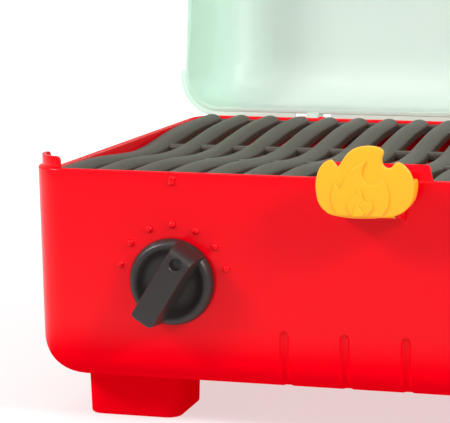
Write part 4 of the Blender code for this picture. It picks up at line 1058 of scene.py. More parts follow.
    def post(self, x: float, y: float) -> Obj:
        """Models one hollow post under the grate, open from below for its screw.

        Args:
            x: the post's place across.
            y: its place from front to back.

        Returns:
            The post.
        """
        floor, top = self.bottom + 0.2 * MM, self.rim - self.post_drop
        seat = top - self.post_seat
        profile = [(floor, self.post_bore), (floor, self.post_radius), (top, self.post_radius),
                   (top, self.post_mouth), (seat, self.post_mouth), (seat, self.post_bore)]
        return turned("post", profile, (x, y, 0), UP, 32, ring=True)

    def build(self) -> None:
        """Builds the tub and hands it over."""
        obj = self.shell()
        wells = []
        parts = [obj, self.lip(-1), self.lip(1), self.tab()] + self.dots()
        for side in (-1, 1):
            parts.append(self.bead(side * abs(self.knob_x), self.rim - self.pip_drop, self.pip_radius,
                                   self.pip_half_height))
            for way in (-1, 1):
                x, y = side * self.post_x, way * (self.depth / 2 - self.post_inset)
                wells.append(rod("well", (0, self.bottom + self.well_rise), self.post_bore, (x, y, 0), UP))
                parts.append(self.post(x, y))
        combine(obj, wells, "DIFFERENCE")
        self.hand_over(join("tub_moulding", parts), Slot.RED, Body.TUB, ["body_tub"])


@dataclass
class Feet(Assembly):
    """The four red feet, each with two screw wells underneath."""

    width: float = 39.8 * MM
    depth: float = 34.6 * MM
    height: float = 18.9 * MM
    corner: float = 6.0 * MM
    draft: float = math.radians(1.5)
    edge: float = 0.9 * MM
    side_inset: float = 15.8 * MM
    front_inset: float = 18.0 * MM
    screw_spacing: float = 19.0 * MM
    well_radius: float = 3.2 * MM
    well_depth: float = 6.0 * MM

    def foot(self) -> Obj:
        """Models one foot round the axis X = Y = 0.

        Returns:
            The foot.
        """
        half_x, half_y = self.width / 2, self.depth / 2
        obj = block("foot", (-half_x, -half_y, 0), (half_x, half_y, self.height))
        edit(obj)
        lean = self.height * math.tan(self.draft)
        pick(obj, Element.POINTS, lambda v: v.co.z < MM)
        bpy.ops.transform.resize(value=(1 - lean / half_x, 1 - lean / half_y, 1), center_override=(0, 0, 0))
        pick(obj, Element.EDGES, lambda e: abs(e.verts[0].co.z - e.verts[1].co.z) > MM)
        bpy.ops.mesh.bevel(offset=self.corner, segments=12, affect="EDGES")
        leave()
        wells = [rod("well", (-MM, self.well_depth), self.well_radius, (x, 0, 0), UP)
                 for x in (-self.screw_spacing / 2, self.screw_spacing / 2)]
        combine(obj, wells, "DIFFERENCE")
        return round_edges(obj, self.edge, 3, 50)

    def build(self) -> None:
        """Builds the four feet from one and hands them over."""
        model = self.foot()
        x = (Tub.width - self.width) / 2 - self.side_inset
        y = (Tub.depth - self.depth) / 2 - self.front_inset
        for name, place in (("front_left", (-x, -y, 0)), ("front_right", (x, -y, 0)),
                            ("rear_left", (-x, y, 0)), ("rear_right", (x, y, 0))):
            foot = copy_of(model, "foot_block_" + name, Matrix.Translation(place))
            self.hand_over(foot, Slot.RED, Body.TUB, ["foot_" + name])
        bpy.data.objects.remove(model, do_unlink=True)


@dataclass
class Grate(Assembly):
    """The dark bar grate: round topped bars in a frame, sagging towards the middle."""

    half_x: float = 136.5 * MM
    half_y: float = 104.0 * MM
    corner: float = 10.5 * MM
    rim: float = 103.7 * MM
    end_drop: float = 1.0 * MM
    sag: float = 4.4 * MM
    sag_reach: float = 80.0 * MM
    bar_count: int = 18
    bar_width: float = 9.5 * MM
    bar_height: float = 6.0 * MM
    frame_width: float = 5.0 * MM
    frame_lap: float = 1.0 * MM
    frame_sink: float = 2.4 * MM
    frame_height: float = 7.0 * MM
    frame_edge: float = 1.2 * MM
    cross_spacing: float = 44.0 * MM
    cross_width: float = 6.0 * MM
    cross_sink: float = 1.6 * MM
    cross_height: float = 4.0 * MM
    cross_edge: float = 1.3 * MM
    boss_radius: float = 4.0 * MM
    boss_drop: float = 14.5 * MM
    boss_inset: float = 11.5 * MM
    boss_pitches: float = 3.5

    @property
    def pitch(self) -> float:
        """The distance from bar to bar."""
        return (2 * (self.half_x - self.frame_width + self.frame_lap) - self.bar_width) / (self.bar_count - 1)

    def ridge(self, y: float) -> float:
        """Returns the height of the bars' ridges at a distance from the middle."""
        share = min(1.0, abs(y) / self.sag_reach)
        return self.rim - self.end_drop - self.sag * math.cos(math.pi / 2 * share) ** 2

    def bend(self, obj: Obj) -> Obj:
        """Lowers a piece modelled flat, whose ridges are at zero height, to the sagging surface.

        Args:
            obj: the piece.

        Returns:
            The same piece.
        """
        for vertex in obj.data.vertices:
            vertex.co.z += self.ridge(vertex.co.y)
        return obj

    def bar(self) -> Obj:
        """Models one bar, flat, on the axis X = 0.

        Returns:
            The bar.
        """
        half, run = self.bar_width / 2, self.half_y - self.frame_width / 2
        section = [(-0.88 * half, -self.bar_height), (0.88 * half, -self.bar_height)]
        section += [(half * math.cos(a), -0.52 * self.bar_height + 0.52 * self.bar_height * math.sin(a))
                    for a in (math.radians(d) for d in range(0, 181, 15))]
        return drawn_out("bar", [(x, -run, z) for x, z in section], (0, 2 * run, 0), 28)

    def ring(self) -> Obj:
        """Models the frame: its outline inset, the middle bridged through, the edges rounded, then bent.

        Returns:
            The frame.
        """
        outline: list[Point] = []
        straight = self.half_y - self.corner
        for sx, sy, start in CORNERS:
            centre = (sx * (self.half_x - self.corner), sy * straight)
            outline += [(x, y, -self.frame_height) for x, y in arc(centre, self.corner, start, start + 90, 8)]
            if sx * sy < 0:
                outline += [(sx * self.half_x, sy * straight * (1 - i / 12), -self.frame_height)
                            for i in range(1, 24)]
        obj = drawn_out("frame", outline, (0, 0, self.frame_height - self.frame_sink))
        edit(obj, Element.FACES)
        pick(obj, Element.FACES, lambda f: abs(f.normal.z) > 0.5)
        bpy.ops.mesh.inset(thickness=self.frame_width, use_boundary=True, use_even_offset=True)
        bpy.ops.mesh.bridge_edge_loops()
        leave()
        round_edges(obj, self.frame_edge, 4, 50)
        return self.bend(obj)

    def build(self) -> None:
        """Builds the grate and hands it over."""
        bar = self.bend(self.bar())
        parts = [copy_of(bar, "bar", Matrix.Translation(((i - (self.bar_count - 1) / 2) * self.pitch, 0, 0)))
                 for i in range(self.bar_count)]
        bpy.data.objects.remove(bar, do_unlink=True)
        parts.append(self.ring())
        top = self.ridge(self.cross_spacing / 2) - self.cross_sink
        reach = self.half_x - self.frame_width / 2
        for way in (-1, 1):
            y = way * self.cross_spacing / 2
            cross = block("crossbar", (-reach, y - self.cross_width / 2, top - self.cross_height),
                          (reach, y + self.cross_width / 2, top))
            parts.append(round_edges(cross, self.cross_edge, 4, 50))
            for side in (-1, 1):
                x, end = side * self.boss_pitches * self.pitch, way * (self.half_y - self.boss_inset)
                ends = (self.rim - self.boss_drop, self.ridge(end) - self.bar_height / 2)
                parts.append(rod("boss", ends, self.boss_radius, (x, end, 0), UP))
        self.hand_over(join("grate_moulding", parts), Slot.GRATE, Body.TUB, ["grill_grate"], 40)


@dataclass
class Lid(Assembly):
    """The milky mint lid, modelled closed and then opened about its hinge axis."""

    half_x: float = 147.5 * MM
    half_y: float = 111.2 * MM
    bottom: float = 98.7 * MM
    height: float = 56.0 * MM
    skirt: float = 9.0 * MM
    wall: float = 2.2 * MM
    draft: float = math.radians(7)
    corner: float = 18.0 * MM
    fillet_run: float = 26.5 * MM
    hinge_y: float = 116.0 * MM
    hinge_z: float = 97.7 * MM
    open_angle: float = math.radians(97.6)
    flange_width: float = 2.6 * MM
    flange_height: float = 2.0 * MM
    flange_tail: float = 2.5 * MM
    hinge_spacing: float = 160.0 * MM
    knuckle_radius: float = 3.4 * MM
    knuckle_width: float = 6.0 * MM
    ear_rise: float = 14.0 * MM
    pin_radius: float = 1.8 * MM
    catch_low: Point = (-8.0 * MM, -112.9 * MM, 104.2 * MM)
    catch_high: Point = (8.0 * MM, -110.6 * MM, 106.5 * MM)
    ledge_width: float = 3.0 * MM
    ledge_runs: tuple[Flat, ...] = ((-131 * MM, -89 * MM), (-71 * MM, 71 * MM), (89 * MM, 131 * MM))
    pad_x: float = 75.0 * MM
    pad_low: Point = (-6.0 * MM, -109.6 * MM, 104.0 * MM)
    pad_high: Point = (6.0 * MM, -105.0 * MM, 106.2 * MM)

    def dome(self) -> Obj:
        """Models the domed shell.

        Returns:
            The shell.
        """
        top = self.bottom + self.height
        obj = block("dome", (-self.half_x, -self.half_y, self.bottom), (self.half_x, self.half_y, top))
        edit(obj, Element.FACES)
        pick(obj, Element.FACES, lambda f: middle(f).z < self.bottom + MM)
        bpy.ops.mesh.delete(type="FACE")
        slice_level(self.bottom + self.skirt)
        inset = (self.height - self.skirt) * math.tan(self.draft)
        pick(obj, Element.POINTS, lambda v: v.co.z > top - MM)
        bpy.ops.transform.resize(value=(1 - inset / self.half_x, 1 - inset / self.half_y, 1),
                                 center_override=(0, 0, top))

        def weight(edge: Any) -> float:
            """Says how much of the top fillet an edge takes.

            Args:
                edge: the edge.

            Returns:
                Its bevel weight.
            """
            a, b = (v.co for v in edge.verts)
            if min(a.z, b.z) > top - MM:
                return 1.0
            return self.corner / self.fillet_run if abs(a.z - b.z) > MM else 0.0
        weigh_edges(obj, weight)
        leave()
        modify(obj, "BEVEL", width=self.fillet_run, segments=18, limit_method="WEIGHT",
               use_clamp_overlap=False)
        modify(obj, "SOLIDIFY", thickness=self.wall, offset=-1, use_even_offset=True)
        return round_edges(obj, 0.5 * MM, 3, 60)

    def flange(self, side: int, end: int) -> Obj:
        """Models the ledge round one corner of the rim.

        Args:
            side: -1 for the left and 1 for the right.
            end: -1 for the front and 1 for the rear.

        Returns:
            The ledge.
        """
        inner, outer = self.corner - self.wall / 2, self.corner + self.flange_width
        low, high = self.bottom + LAP, self.bottom + self.flange_height
        centre = Vector((side * (self.half_x - self.corner), end * (self.half_y - self.corner), 0))
        section = [centre + Vector((0, end * r, z))
                   for r, z in ((inner, low), (outer, low), (outer, high), (inner, high))]
        obj = panel("flange", section)
        edit(obj)
        every()
        bpy.ops.transform.translate(value=(-side * self.flange_tail, 0, 0))
        extrude((side * self.flange_tail, 0, 0))
        bpy.ops.mesh.spin(steps=16, angle=side * end * math.pi / 2, center=centre, axis=UP)
        extrude((0, -end * self.flange_tail, 0))
        close_up(weld=True)
        return round_edges(obj, 0.7 * MM, 4, 40)

    def ledge(self, start: float, end: float) -> Obj:
        """Models one stretch of the narrow ledge along the rim's hinge side.

        Args:
            start: the X of its left end.
            end: the X of its right end.

        Returns:
            The stretch.
        """
        low, high = self.bottom + LAP, self.bottom + self.flange_height
        obj = block("ledge", (start, self.half_y - self.wall / 2, low),
                    (end, self.half_y + self.ledge_width, high))
        return round_edges(obj, 0.6 * MM, 4, 50)

    def ear(self, x: float) -> Obj:
        """Models one ear, with the bore for its hinge pin.

        Args:
            x: the middle of the ear across.

        Returns:
            The ear.
        """
        wall = self.half_y - self.wall / 2
        outline = [(wall, self.hinge_z + self.ear_rise), (wall, self.bottom + 0.6 * MM)]
        outline += arc((self.hinge_y, self.hinge_z), self.knuckle_radius, 215, 400, 20)
        half = self.knuckle_width / 2
        obj = across("ear", outline, x - half, 2 * half)
        bore = rod("bore", (-5 * MM, 5 * MM), self.pin_radius, (x, self.hinge_y, self.hinge_z), (1, 0, 0))
        return round_edges(combine(obj, [bore], "DIFFERENCE"), FINE_EDGE, 2, 50)

    def build(self) -> None:
        """Builds the lid, opens it and hands it over."""
        parts = [self.dome()]
        parts += [self.flange(side, end) for side in (-1, 1) for end in (-1, 1)]
        parts += [self.ledge(*run) for run in self.ledge_runs]
        parts += [self.ear(side * self.hinge_spacing / 2) for side in (-1, 1)]
        parts.append(round_edges(block("catch", self.catch_low, self.catch_high), 0.6 * MM, 3, 50))
        for side in (-1, 1):
            pad = block("pad", self.pad_low, self.pad_high)
            pad.data.transform(Matrix.Translation((side * self.pad_x, 0, 0)))
            parts.append(round_edges(pad, 0.5 * MM, 3, 50))
        obj = combine(parts[0], parts[1:], "UNION")
        obj.name = "lid_dome"
        turn = about((0, self.hinge_y, self.hinge_z), -self.open_angle, "X")
        self.hand_over(obj, Slot.MINT, Body.LID, ["lid_shell"], turn=turn)


# Thousandths of the flame's width and height; a third value marks a pointed corner
Shares = tuple[tuple[int, ...], ...]
OUTER_FLAME: Shares = (
    (-276, 690, 1), (-190, 866), (-139, 937), (-76, 978), (6, 1000), (82, 1000), (145, 980), (183, 939),
    (185, 891), (173, 848), (172, 791), (186, 737), (221, 707), (253, 707), (280, 732), (305, 773),
    (337, 788), (382, 759), (425, 705), (463, 629), (500, 468), (485, 287), (460, 209), (419, 137),
    (363, 83), (287, 44), (161, 18), (0, 0), (-170, 3), (-336, 36), (-400, 85), (-451, 156), (-483, 255),
    (-500, 430), (-488, 568), (-464, 664), (-426, 738), (-385, 780), (-349, 794), (-321, 769))
MIDDLE_FLAME: Shares = (
    (-263, 35, 1), (-310, 136), (-333, 248), (-333, 352), (-298, 478, 1), (-247, 391, 1), (-212, 505),
    (-155, 628), (-92, 718), (24, 807, 1), (-21, 669), (-18, 583), (10, 516), (48, 478), (92, 466),
    (136, 487), (181, 550, 1), (225, 466), (248, 381), (253, 278), (239, 173), (182, 35, 1))
INNER_FLAME: Shares = (
    (-110, 35, 1), (-148, 92), (-165, 161), (-152, 231), (-81, 338), (-51, 418, 1), (-21, 359), (-12, 299),
    (4, 251), (36, 228), (68, 263, 1), (87, 200), (84, 139), (24, 35, 1))
HEART_FLAME: Shares = (
    (-101, 35, 1), (-111, 68), (-96, 121), (-65, 189, 1), (-37, 150), (-14, 111), (8, 95, 1), (-2, 48),
    (-21, 35, 1))


@dataclass
class Latch(Assembly):
    """The flame shaped latch: plate, lever, and the bracket that it swings on."""

    width: float = 37.2 * MM
    foot: float = 91.0 * MM
    height: float = 27.0 * MM
    shift_x: float = -0.9 * MM
    face: float = -122.5 * MM
    thickness: float = 2.7 * MM
    step: float = 0.55 * MM
    step_edge: float = 0.42 * MM
    web_front: float = -119.5 * MM
    web_back: float = -116.5 * MM
    pivot_y: float = -113.2 * MM
    pivot_z: float = 92.5 * MM
    lever_top: float = 105.2 * MM
    lever_corner: float = 2.2 * MM
    pocket_half: float = 12.6 * MM
    barrel_half: float = 9.2 * MM
    barrel_radius: float = 2.4 * MM
    hook_half: float = 4.0 * MM
    hook_root: float = 102.2 * MM
    hook_low: float = 107.1 * MM
    hook_high: float = 109.1 * MM
    hook_tip: float = -113.4 * MM
    bracket_half: float = 11.8 * MM
    bracket_low: float = 88.4 * MM
    bracket_high: float = 96.2 * MM
    bracket_back: float = -107.8 * MM
    bracket_base: float = 2.2 * MM
    ear_radius: float = 2.8 * MM
    ear_inner: float = 9.6 * MM
    pin_bore: float = 1.5 * MM
    bore_half: float = 15.0 * MM

    def outline(self, shares: Shares, steps: int = 4) -> list[Flat]:
        """Draws a smooth closed line through the points of one flame.

        Args:
            shares: the listed points of one flame.
            steps: how many points there are from one share to the next.

        Returns:
            The outline in X and Z.
        """
        points = [Vector((self.shift_x + x / 1000 * self.width, self.foot + z / 1000 * self.height))
                  for x, z, *_ in shares]
        pointed = [len(share) > 2 for share in shares]
        count = len(points)
        line: list[Flat] = []
        for i in range(count):
            before, here, there, after = (points[(i + k) % count] for k in (-1, 0, 1, 2))
            leave_here = (there - here) if pointed[i] else (there - before) / 2
            arrive = (there - here) if pointed[(i + 1) % count] else (after - here) / 2
            for step in range(steps):
                t = step / steps
                blend = (2 * t**3 - 3 * t**2 + 1, t**3 - 2 * t**2 + t, 3 * t**2 - 2 * t**3, t**3 - t**2)
                place = here * blend[0] + leave_here * blend[1] + there * blend[2] + arrive * blend[3]
                line.append((place.x, place.y))
        return line

    def plate(self) -> Obj:
        """Models the front plate with its three nested flames, each raised on the one outside it.

        Returns:
            The plate.
        """
        rest = self.face + self.thickness
        base = drawn_out("plate", [(x, rest, z) for x, z in self.outline(OUTER_FLAME)],
                         (0, -self.thickness, 0))
        layers = [round_edges(base, 0.9 * MM, 4, 50)]
        for level, shares in enumerate((MIDDLE_FLAME, INNER_FLAME, HEART_FLAME), 1):
            layer = drawn_out("layer", [(x, self.face + LAP, z) for x, z in self.outline(shares)],
                              (0, -LAP - level * self.step, 0))
            layers.append(round_edges(layer, self.step_edge, 4, 50))
        return join("flame_plate", layers)

    def bored(self, obj: Obj) -> Obj:
        """Cuts the bore for the pin through a piece.

        Args:
            obj: the piece.

        Returns:
            The same piece.
        """
        bore = rod("bore", (-self.bore_half, self.bore_half), self.pin_bore,
                   (0, self.pivot_y, self.pivot_z), (1, 0, 0), 24)
        return combine(obj, [bore], "DIFFERENCE")

    def lever(self) -> Obj:
        """Models the lever behind the plate, with its pocket, barrel and hook.

        Returns:
            The lever.
        """
        outline = [(x, z) for x, z in self.outline(OUTER_FLAME) if z < self.lever_top]
        first = max(range(len(outline)), key=lambda i: (outline[i][0] > 0) * outline[i][1])
        outline = outline[first:] + outline[:first]
        outline = [(outline[0][0], self.lever_top)] + outline + [(outline[-1][0], self.lever_top)]
        shrink = 1 - LAP / self.width
        outline = [((x - self.shift_x) * shrink + self.shift_x, max(z, self.foot + LAP / 2))
                   for x, z in outline]
        depth = self.pivot_y - self.web_front
        obj = drawn_out("lever", [(x, self.web_front, z) for x, z in outline], (0, depth, 0))
        edit(obj)
        weigh_edges(obj, lambda e: 1.0 if abs(e.verts[0].co.y - e.verts[1].co.y) > MM
                    and min(v.co.z for v in e.verts) > self.lever_top - 0.05 * MM else 0.0)
        leave()
        modify(obj, "BEVEL", width=self.lever_corner, segments=6, limit_method="WEIGHT")
        pocket = block("pocket", (-self.pocket_half, self.web_back, self.foot - MM),
                       (self.pocket_half, self.pivot_y + MM, self.lever_top + MM))
        combine(obj, [pocket], "DIFFERENCE")
        round_edges(obj, 0.5 * MM, 3, 50)
        barrel = arc((self.pivot_y, self.pivot_z), self.barrel_radius, -150, 90, 24)
        arm = self.web_back - 0.6 * MM
        barrel += [(arm, self.pivot_z + self.barrel_radius), (arm, self.pivot_z - self.barrel_radius / 2)]
        tube = across("barrel", barrel, -self.barrel_half, 2 * self.barrel_half)
        front = self.web_front + LAP
        hook = [(front, self.hook_root), (self.web_back, self.hook_root), (self.web_back, self.hook_low),
                (self.hook_tip, self.hook_low), (self.hook_tip, self.hook_low + MM),
                (self.web_back, self.hook_high), (front, self.hook_high)]
        claw = across("hook", hook, -self.hook_half, 2 * self.hook_half)
        round_edges(claw, FINE_EDGE, 2, 50)
        combine(obj, [tube, claw], "UNION")
        obj.name = "latch_back"
        return self.bored(obj)

    def bracket(self) -> Obj:
        """Models the red bracket with its two ears.

        Returns:
            The bracket.
        """
        base_front = self.bracket_back - self.bracket_base
        obj = block("latch_mount", (-self.bracket_half, base_front, self.bracket_low),
                    (self.bracket_half, self.bracket_back, self.bracket_high))
        outline = arc((self.pivot_y, self.pivot_z), self.ear_radius, 100, 260, 16)
        root = base_front + 0.6 * MM
        outline += [(root, self.bracket_low + 0.6 * MM), (root, self.bracket_high - 0.6 * MM)]
        width = self.bracket_half - LAP - self.ear_inner
        ears = [across("ear", outline, side * self.ear_inner, side * width) for side in (-1, 1)]
        combine(obj, ears, "UNION")
        return round_edges(self.bored(obj), FINE_EDGE, 2, 50)

    def build(self) -> None:
        """Builds the latch and hands it over."""
        self.hand_over(self.plate(), Slot.YELLOW, Body.LATCH, ["latch_flame"], 30)
        self.hand_over(self.lever(), Slot.YELLOW, Body.LATCH, ["latch_lever"], 30)
        self.hand_over(self.bracket(), Slot.RED, Body.TUB, ["latch_bracket"], 30)


# The grip bar's sections: height over the axis, narrowing on each side, and drop of the ridge, in millimetres
GRIP_ROWS: tuple[Point, ...] = (
    (-16.6, 3.2, 1.3), (-16.5, 1.9, 0.7), (-16.25, 1, 0.35), (-15.9, 0.45, 0.14), (-15.4, 0.15, 0.04),
    (-14.8, 0, 0), (-8, 0, 0), (0, 0, 0), (7, 0, 0), (8.6, 0, 0.06), (10, 0, 0.22), (11.4, 0, 0.52),
    (12.6, 0, 0.95), (13.6, 0, 1.6), (14.4, 0, 2.5), (15, 0, 3.6), (15.5, 0, 4.9), (15.9, 0, 6.4),
    (16.2, 0, 7.9), (16.4, 0, 9.2))


@dataclass
class Knob(Assembly):
    """The charcoal dial knob, modelled with its pointer up and then turned."""

    x: float = -80.5 * MM
    z: float = 60.7 * MM
    back: float = -107.5 * MM
    rim_height: float = 4.6 * MM
    floor: float = 2.2 * MM
    height: float = 14.5 * MM
    bar_width: float = 9.6 * MM
    bar_base: float = 12.0 * MM
    bar_edge: float = 0.7 * MM
    edge_shares: tuple[Flat, ...] = ((0.12, 1), (-0.08, 0.5), (-0.35, 0.15), (-1, 0))
    dot_radius: float = 2.5 * MM
    dot_depth: float = 2.4 * MM
    dot_chamfer: float = 0.3 * MM
    dot_offset: float = 11.0 * MM
    pointer: float = math.radians(58)

    def dish(self) -> Obj:
        """Models the round base with its dished front.

        Returns:
            The base.
        """
        # Each pair is a height and a radius in millimetres: side wall, round crest, then the dish
        profile = [(height * MM, radius * MM) for height, radius in (
            (0, 17.0), (0.8, 17.2), (2.0, 17.0), (3.0, 16.6), (3.8, 16.05), (4.3, 15.5), (4.55, 14.95),
            (4.6, 14.5), (4.5, 14.0), (4.25, 13.4), (3.85, 12.8), (3.4, 12.2), (2.95, 11.5), (2.6, 10.7),
            (2.35, 9.6), (2.2, 8.2))]
        return turned("knob_body", profile, (self.x, self.back, self.z), FORWARD, 96)

    def bar(self) -> Obj:
        """Models the grip bar, section by section from its blunt end to its pointer end."""
        return stacked("grip", [self.bar_ring(*(value * MM for value in row)) for row in GRIP_ROWS])

    def bar_ring(self, place: float, trim: float, drop: float) -> list[Point]:
        """Draws one section of the grip bar.

        Args:
            place: its height over the knob's axis.
            trim: how much narrower it is than the bar on each side.
            drop: how much lower its ridge is than the bar's face.

        Returns:
            The section's points, with the rounded edges of the face.
        """
        foot = self.bar_base / 2 - trim
        top = self.height - drop
        share = (top - self.rim_height) / (self.height - self.rim_height)
        half = foot + (self.bar_width - self.bar_base) / 2 * share
        edge = min(self.bar_edge, half * 0.5)
        side = [(foot, self.floor / 2), (foot, self.rim_height)]
        side += [(half + edge * out, top - edge * down) for out, down in self.edge_shares]
        outline = side + [(-x, out) for x, out in reversed(side)]
        return [(self.x + x, self.back - out, self.z + place) for x, out in outline]

    def build(self) -> None:
        """Builds the knob, turns its pointer and hands it over."""
        obj = combine(self.dish(), [self.bar()], "UNION")
        face = self.back - self.height
        mouth = self.dot_radius + self.dot_chamfer
        dot = turned("dot", [(-MM, mouth), (0, mouth), (self.dot_chamfer, self.dot_radius),
                             (self.dot_depth, self.dot_radius - 0.2 * MM)],
                     (self.x, face, self.z + self.dot_offset), (0, 1, 0), 40)
        combine(obj, [dot], "DIFFERENCE")
        obj.name = "knob_dial"
        turn = about((self.x, 0, self.z), math.pi / 2 - self.pointer, "Y")
        self.hand_over(obj, Slot.CHARCOAL, Body.KNOB, ["knob_grip"], 30, turn)


@dataclass
class Fittings(Assembly):
    """The screws and small fittings, which are built where their solids stand."""

    recess_width: float = 0.28
    recess_reach: float = 0.62
    screws: tuple[tuple[str, Point, Body], ...] = (
        ("foot_screw", UP, Body.TUB), ("grate_screw", UP, Body.TUB), ("hinge_screw", FORWARD, Body.TUB),
        ("latch_bracket_screw", FORWARD, Body.TUB), ("latch_screw", FORWARD, Body.LATCH),
        ("spindle_screw", FORWARD, Body.KNOB))

    def screw(self, node: str, direction: Vector, body: Body) -> None:
        """Models a pan head screw with a crossed recess in the place of a plain one.

        Args:
            node: the node that it stands for.
            direction: the way its shank points.
            body: the body that it moves with.
        """
        low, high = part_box(node)
        centre = (low + high) / 2
        length = abs((high - low).dot(direction))
        side = Vector(UP) if abs(direction.z) < 0.5 else Vector((1, 0, 0))
        radius = abs((high - low).dot(side)) / 2
        head = radius * 0.67
        shank = radius * 0.44
        start = centre - direction * (length / 2)
        profile = [(0, radius * 0.55), (0.1 * head, radius * 0.75), (0.35 * head, radius * 0.93),
                   (0.7 * head, radius), (head, radius), (head, shank), (length - shank, shank),
                   (length, shank / 3)]
        obj = turned("pan_head_" + node, profile, start, direction, 32)
        facing = direction.to_track_quat("Z", "Y").to_matrix().to_4x4()
        cutters = []
        for turn in (0, math.pi / 2):
            half, reach = radius * self.recess_width / 2, radius * self.recess_reach
            cutter = block("recess", (-reach, -half, -MM), (reach, half, head * 0.6))
            cutter.data.transform(Matrix.Rotation(turn, 4, "Z"))
            cutter.data.transform(Matrix.Translation(start) @ facing)
            cutters.append(cutter)
        combine(obj, cutters, "DIFFERENCE")
        self.hand_over(obj, Slot.STEEL, body, [node], 40)

    def smooth_twin(self, node: str, finish: Slot) -> None:
        """Models a fitting of the tub from its solid: copied, merged, and its edges softened.

        Args:
            node: the node that it stands for.
            finish: its finish.
        """
        obj = copy_of(frame["nodes"][node], node + "_softened", Matrix.Identity(4))
        obj.parent = None
        for key in [k for k in obj.keys() if k.startswith("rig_")]:
            del obj[key]
        edit(obj)
        every()
        bpy.ops.mesh.remove_doubles(threshold=10 * WELD)
        bpy.ops.mesh.dissolve_limited(angle_limit=math.radians(1))
        leave()
        round_edges(obj, FINE_EDGE, 2, 50)
        self.hand_over(obj, finish, Body.TUB, [node], 30)

    def dress(self, node: str, finish: Slot) -> None:
        """Gives a node that keeps its shape its finish.

        Args:
            node: the node's name.
            finish: its finish.
        """
        obj = frame["nodes"][node]
        obj.data.materials.clear()
        obj.data.materials.append(self.finishes[finish])
        LOG.info("%s: finish %s", node, self.finishes[finish].name)

    def build(self) -> None:
        """Builds the screws, softens the hinge fittings and dresses the others."""
        self.shift = Vector()
        for node in sorted(frame["nodes"]):
            for family, direction, body in self.screws:
                if node.startswith(family):
                    self.screw(node, Vector(direction), body)
        for family, finish in (("hinge_bracket", Slot.RED), ("hinge_pin", Slot.STEEL)):
            for side in ("_left", "_right"):
                self.smooth_twin(family + side, finish)
        for node in ("latch_pin", "click_spring", "spindle_washer"):
            self.dress(node, Slot.STEEL)
        for node in ("click_wheel", "knob_spindle"):
            self.dress(node, Slot.WHITE)


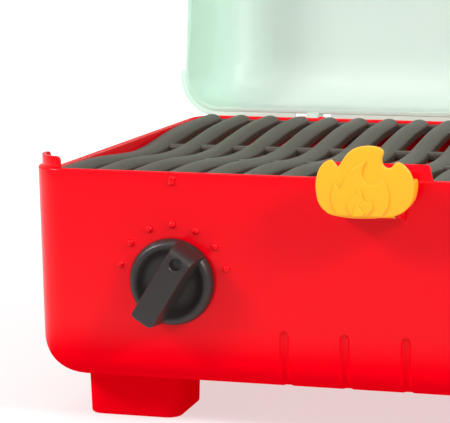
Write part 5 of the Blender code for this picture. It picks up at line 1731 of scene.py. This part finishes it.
@dataclass
class Studio:
    """The pale floor, the soft light and the camera."""

    rim: float = 103.7 * MM
    eye: Point = (144.67 * MM, -787.67 * MM, 101.32 * MM)
    yaw: float = 0.2394
    pitch: float = 0.162
    focal_px: float = 1867.0
    picture_px: float = 450.0
    middle_px: float = 320.0
    sensor_mm: float = 36.0
    floor_size: float = 12.0
    # Painted light: the floor glows, weaker near the toy as a painted shadow under it and weaker in front as
    # a painted falloff
    painted_shadow_glow: float = 0.60
    far_glow: float = 1.0
    painted_shadow_reach: Flat = (0.22, 0.5)
    painted_falloff_glow: float = 0.2
    front_reach: Flat = (-0.6, -0.17)
    surround: float = 0.55

    def camera(self, shift: Vector) -> None:
        """Places the camera where the photograph was taken from.

        Args:
            shift: the way from the tub's frame to the model's frame.
        """
        data = bpy.data.cameras.new("view")
        data.sensor_width = self.sensor_mm
        data.sensor_fit = "HORIZONTAL"
        data.lens = self.focal_px / self.picture_px * self.sensor_mm
        data.shift_x = (self.picture_px / 2 - self.middle_px) / self.picture_px
        data.clip_start = 0.01
        data.clip_end = 50
        camera = bpy.data.objects.new("view", data)
        bpy.context.scene.collection.objects.link(camera)
        camera.location = Vector(self.eye) + shift + Vector((0, 0, self.rim))
        camera.rotation_euler = (math.pi / 2 - self.pitch, 0, self.yaw)
        bpy.context.scene.camera = camera

    def floor(self) -> None:
        """Lays a large pale floor that glows like a light table: painted light, dimmer near the toy as a
        painted shadow under it and dimmer in front as a painted falloff.
        """
        bpy.ops.mesh.primitive_plane_add(size=self.floor_size, location=(0, 0, 0))
        plane = bpy.context.object
        plane.name = "floor"
        material, tree, shader, place = begin("white_studio_card", {
            "Base Color": linear("#9A9A9A"), "Emission Color": (1, 1, 1, 1), "Roughness": 0.75,
            "Specular IOR Level": 0.2})
        # Painted shadow: the glow is weaker near the toy; painted falloff: it is weaker again in front
        away = add_node(tree, "VectorMath", {0: place}, operation="LENGTH")
        glow = add_node(tree, "MapRange", {
            "Value": away.outputs["Value"], "From Min": self.painted_shadow_reach[0], "From Max": self.painted_shadow_reach[1],
            "To Min": self.painted_shadow_glow, "To Max": self.far_glow}, interpolation_type="SMOOTHSTEP")
        along = add_node(tree, "SeparateXYZ", {"Vector": place})
        front = add_node(tree, "MapRange", {
            "Value": along.outputs["Y"], "From Min": self.front_reach[0], "From Max": self.front_reach[1],
            "To Min": self.painted_falloff_glow}, interpolation_type="SMOOTHSTEP")
        both = add_node(tree, "Math", {0: glow.outputs["Result"], 1: front.outputs["Result"]},
                        operation="MULTIPLY")
        feed(both, "Value", shader, "Emission Strength")
        plane.data.materials.append(material)

    def lamp(self, name: str, place: Point, aim: Point, size: Flat, power: float) -> None:
        """Hangs one soft box.

        Args:
            name: the light's name.
            place: where it hangs.
            aim: the point that it faces.
            size: its width and height.
            power: its power in watts.
        """
        data = bpy.data.lights.new(name, "AREA")
        data.shape = "RECTANGLE"
        data.size, data.size_y = size
        data.energy = power
        light = bpy.data.objects.new(name, data)
        bpy.context.scene.collection.objects.link(light)
        light.location = place
        light.rotation_euler = (Vector(aim) - Vector(place)).to_track_quat("-Z", "Y").to_euler()

    def build(self, shift: Vector) -> None:
        """Sets up camera, floor, lights and the white surround.

        Args:
            shift: the way from the tub's frame to the model's frame.
        """
        self.camera(shift)
        self.floor()
        aim = (0, 0, 80 * MM)
        self.lamp("soft_box_left", (-1.25, -0.95, 1.1), aim, (0.4, 0.4), 22)
        self.lamp("soft_box_right", (1.3, -0.8, 1.1), aim, (0.4, 0.4), 21)
        self.lamp("soft_box_top", (0.0, -0.5, 1.9), aim, (1.4, 0.9), 9)
        self.lamp("soft_box_back", (0.0, 1.3, 1.6), (0, 0.1, 0.2), (1.8, 1.2), 3)
        world = bpy.data.worlds.new("white_surround")
        world.use_nodes = True
        sky = world.node_tree.nodes["Background"]
        sky.inputs["Color"].default_value = (1, 1, 1, 1)
        sky.inputs["Strength"].default_value = self.surround
        bpy.context.scene.world = world
        bpy.context.scene.view_settings.view_transform = "Standard"


def way_to_model() -> Vector:
    """Returns the way from the tub's frame to the model's frame, from the lid's hinge axis."""
    hinge = next(joint for joint in frame["joints"] if joint["name"] == "lid_hinge")
    return Vector(hinge["pos_m"]) - Vector((0, Lid.hinge_y, Lid.hinge_z))


def main() -> None:
    """Builds every sub-assembly in order."""
    logging.basicConfig(level=logging.INFO, format="%(message)s")
    bpy.ops.object.select_all(action="DESELECT")
    shift = way_to_model()
    Studio().build(shift)
    finishes = make_finishes()
    for kind in (Tub, Feet, Grate, Lid, Latch, Knob, Fittings):
        LOG.info("-- %s", kind.__name__)
        kind(finishes, shift).build()


if __name__ == "__main__":
    main()
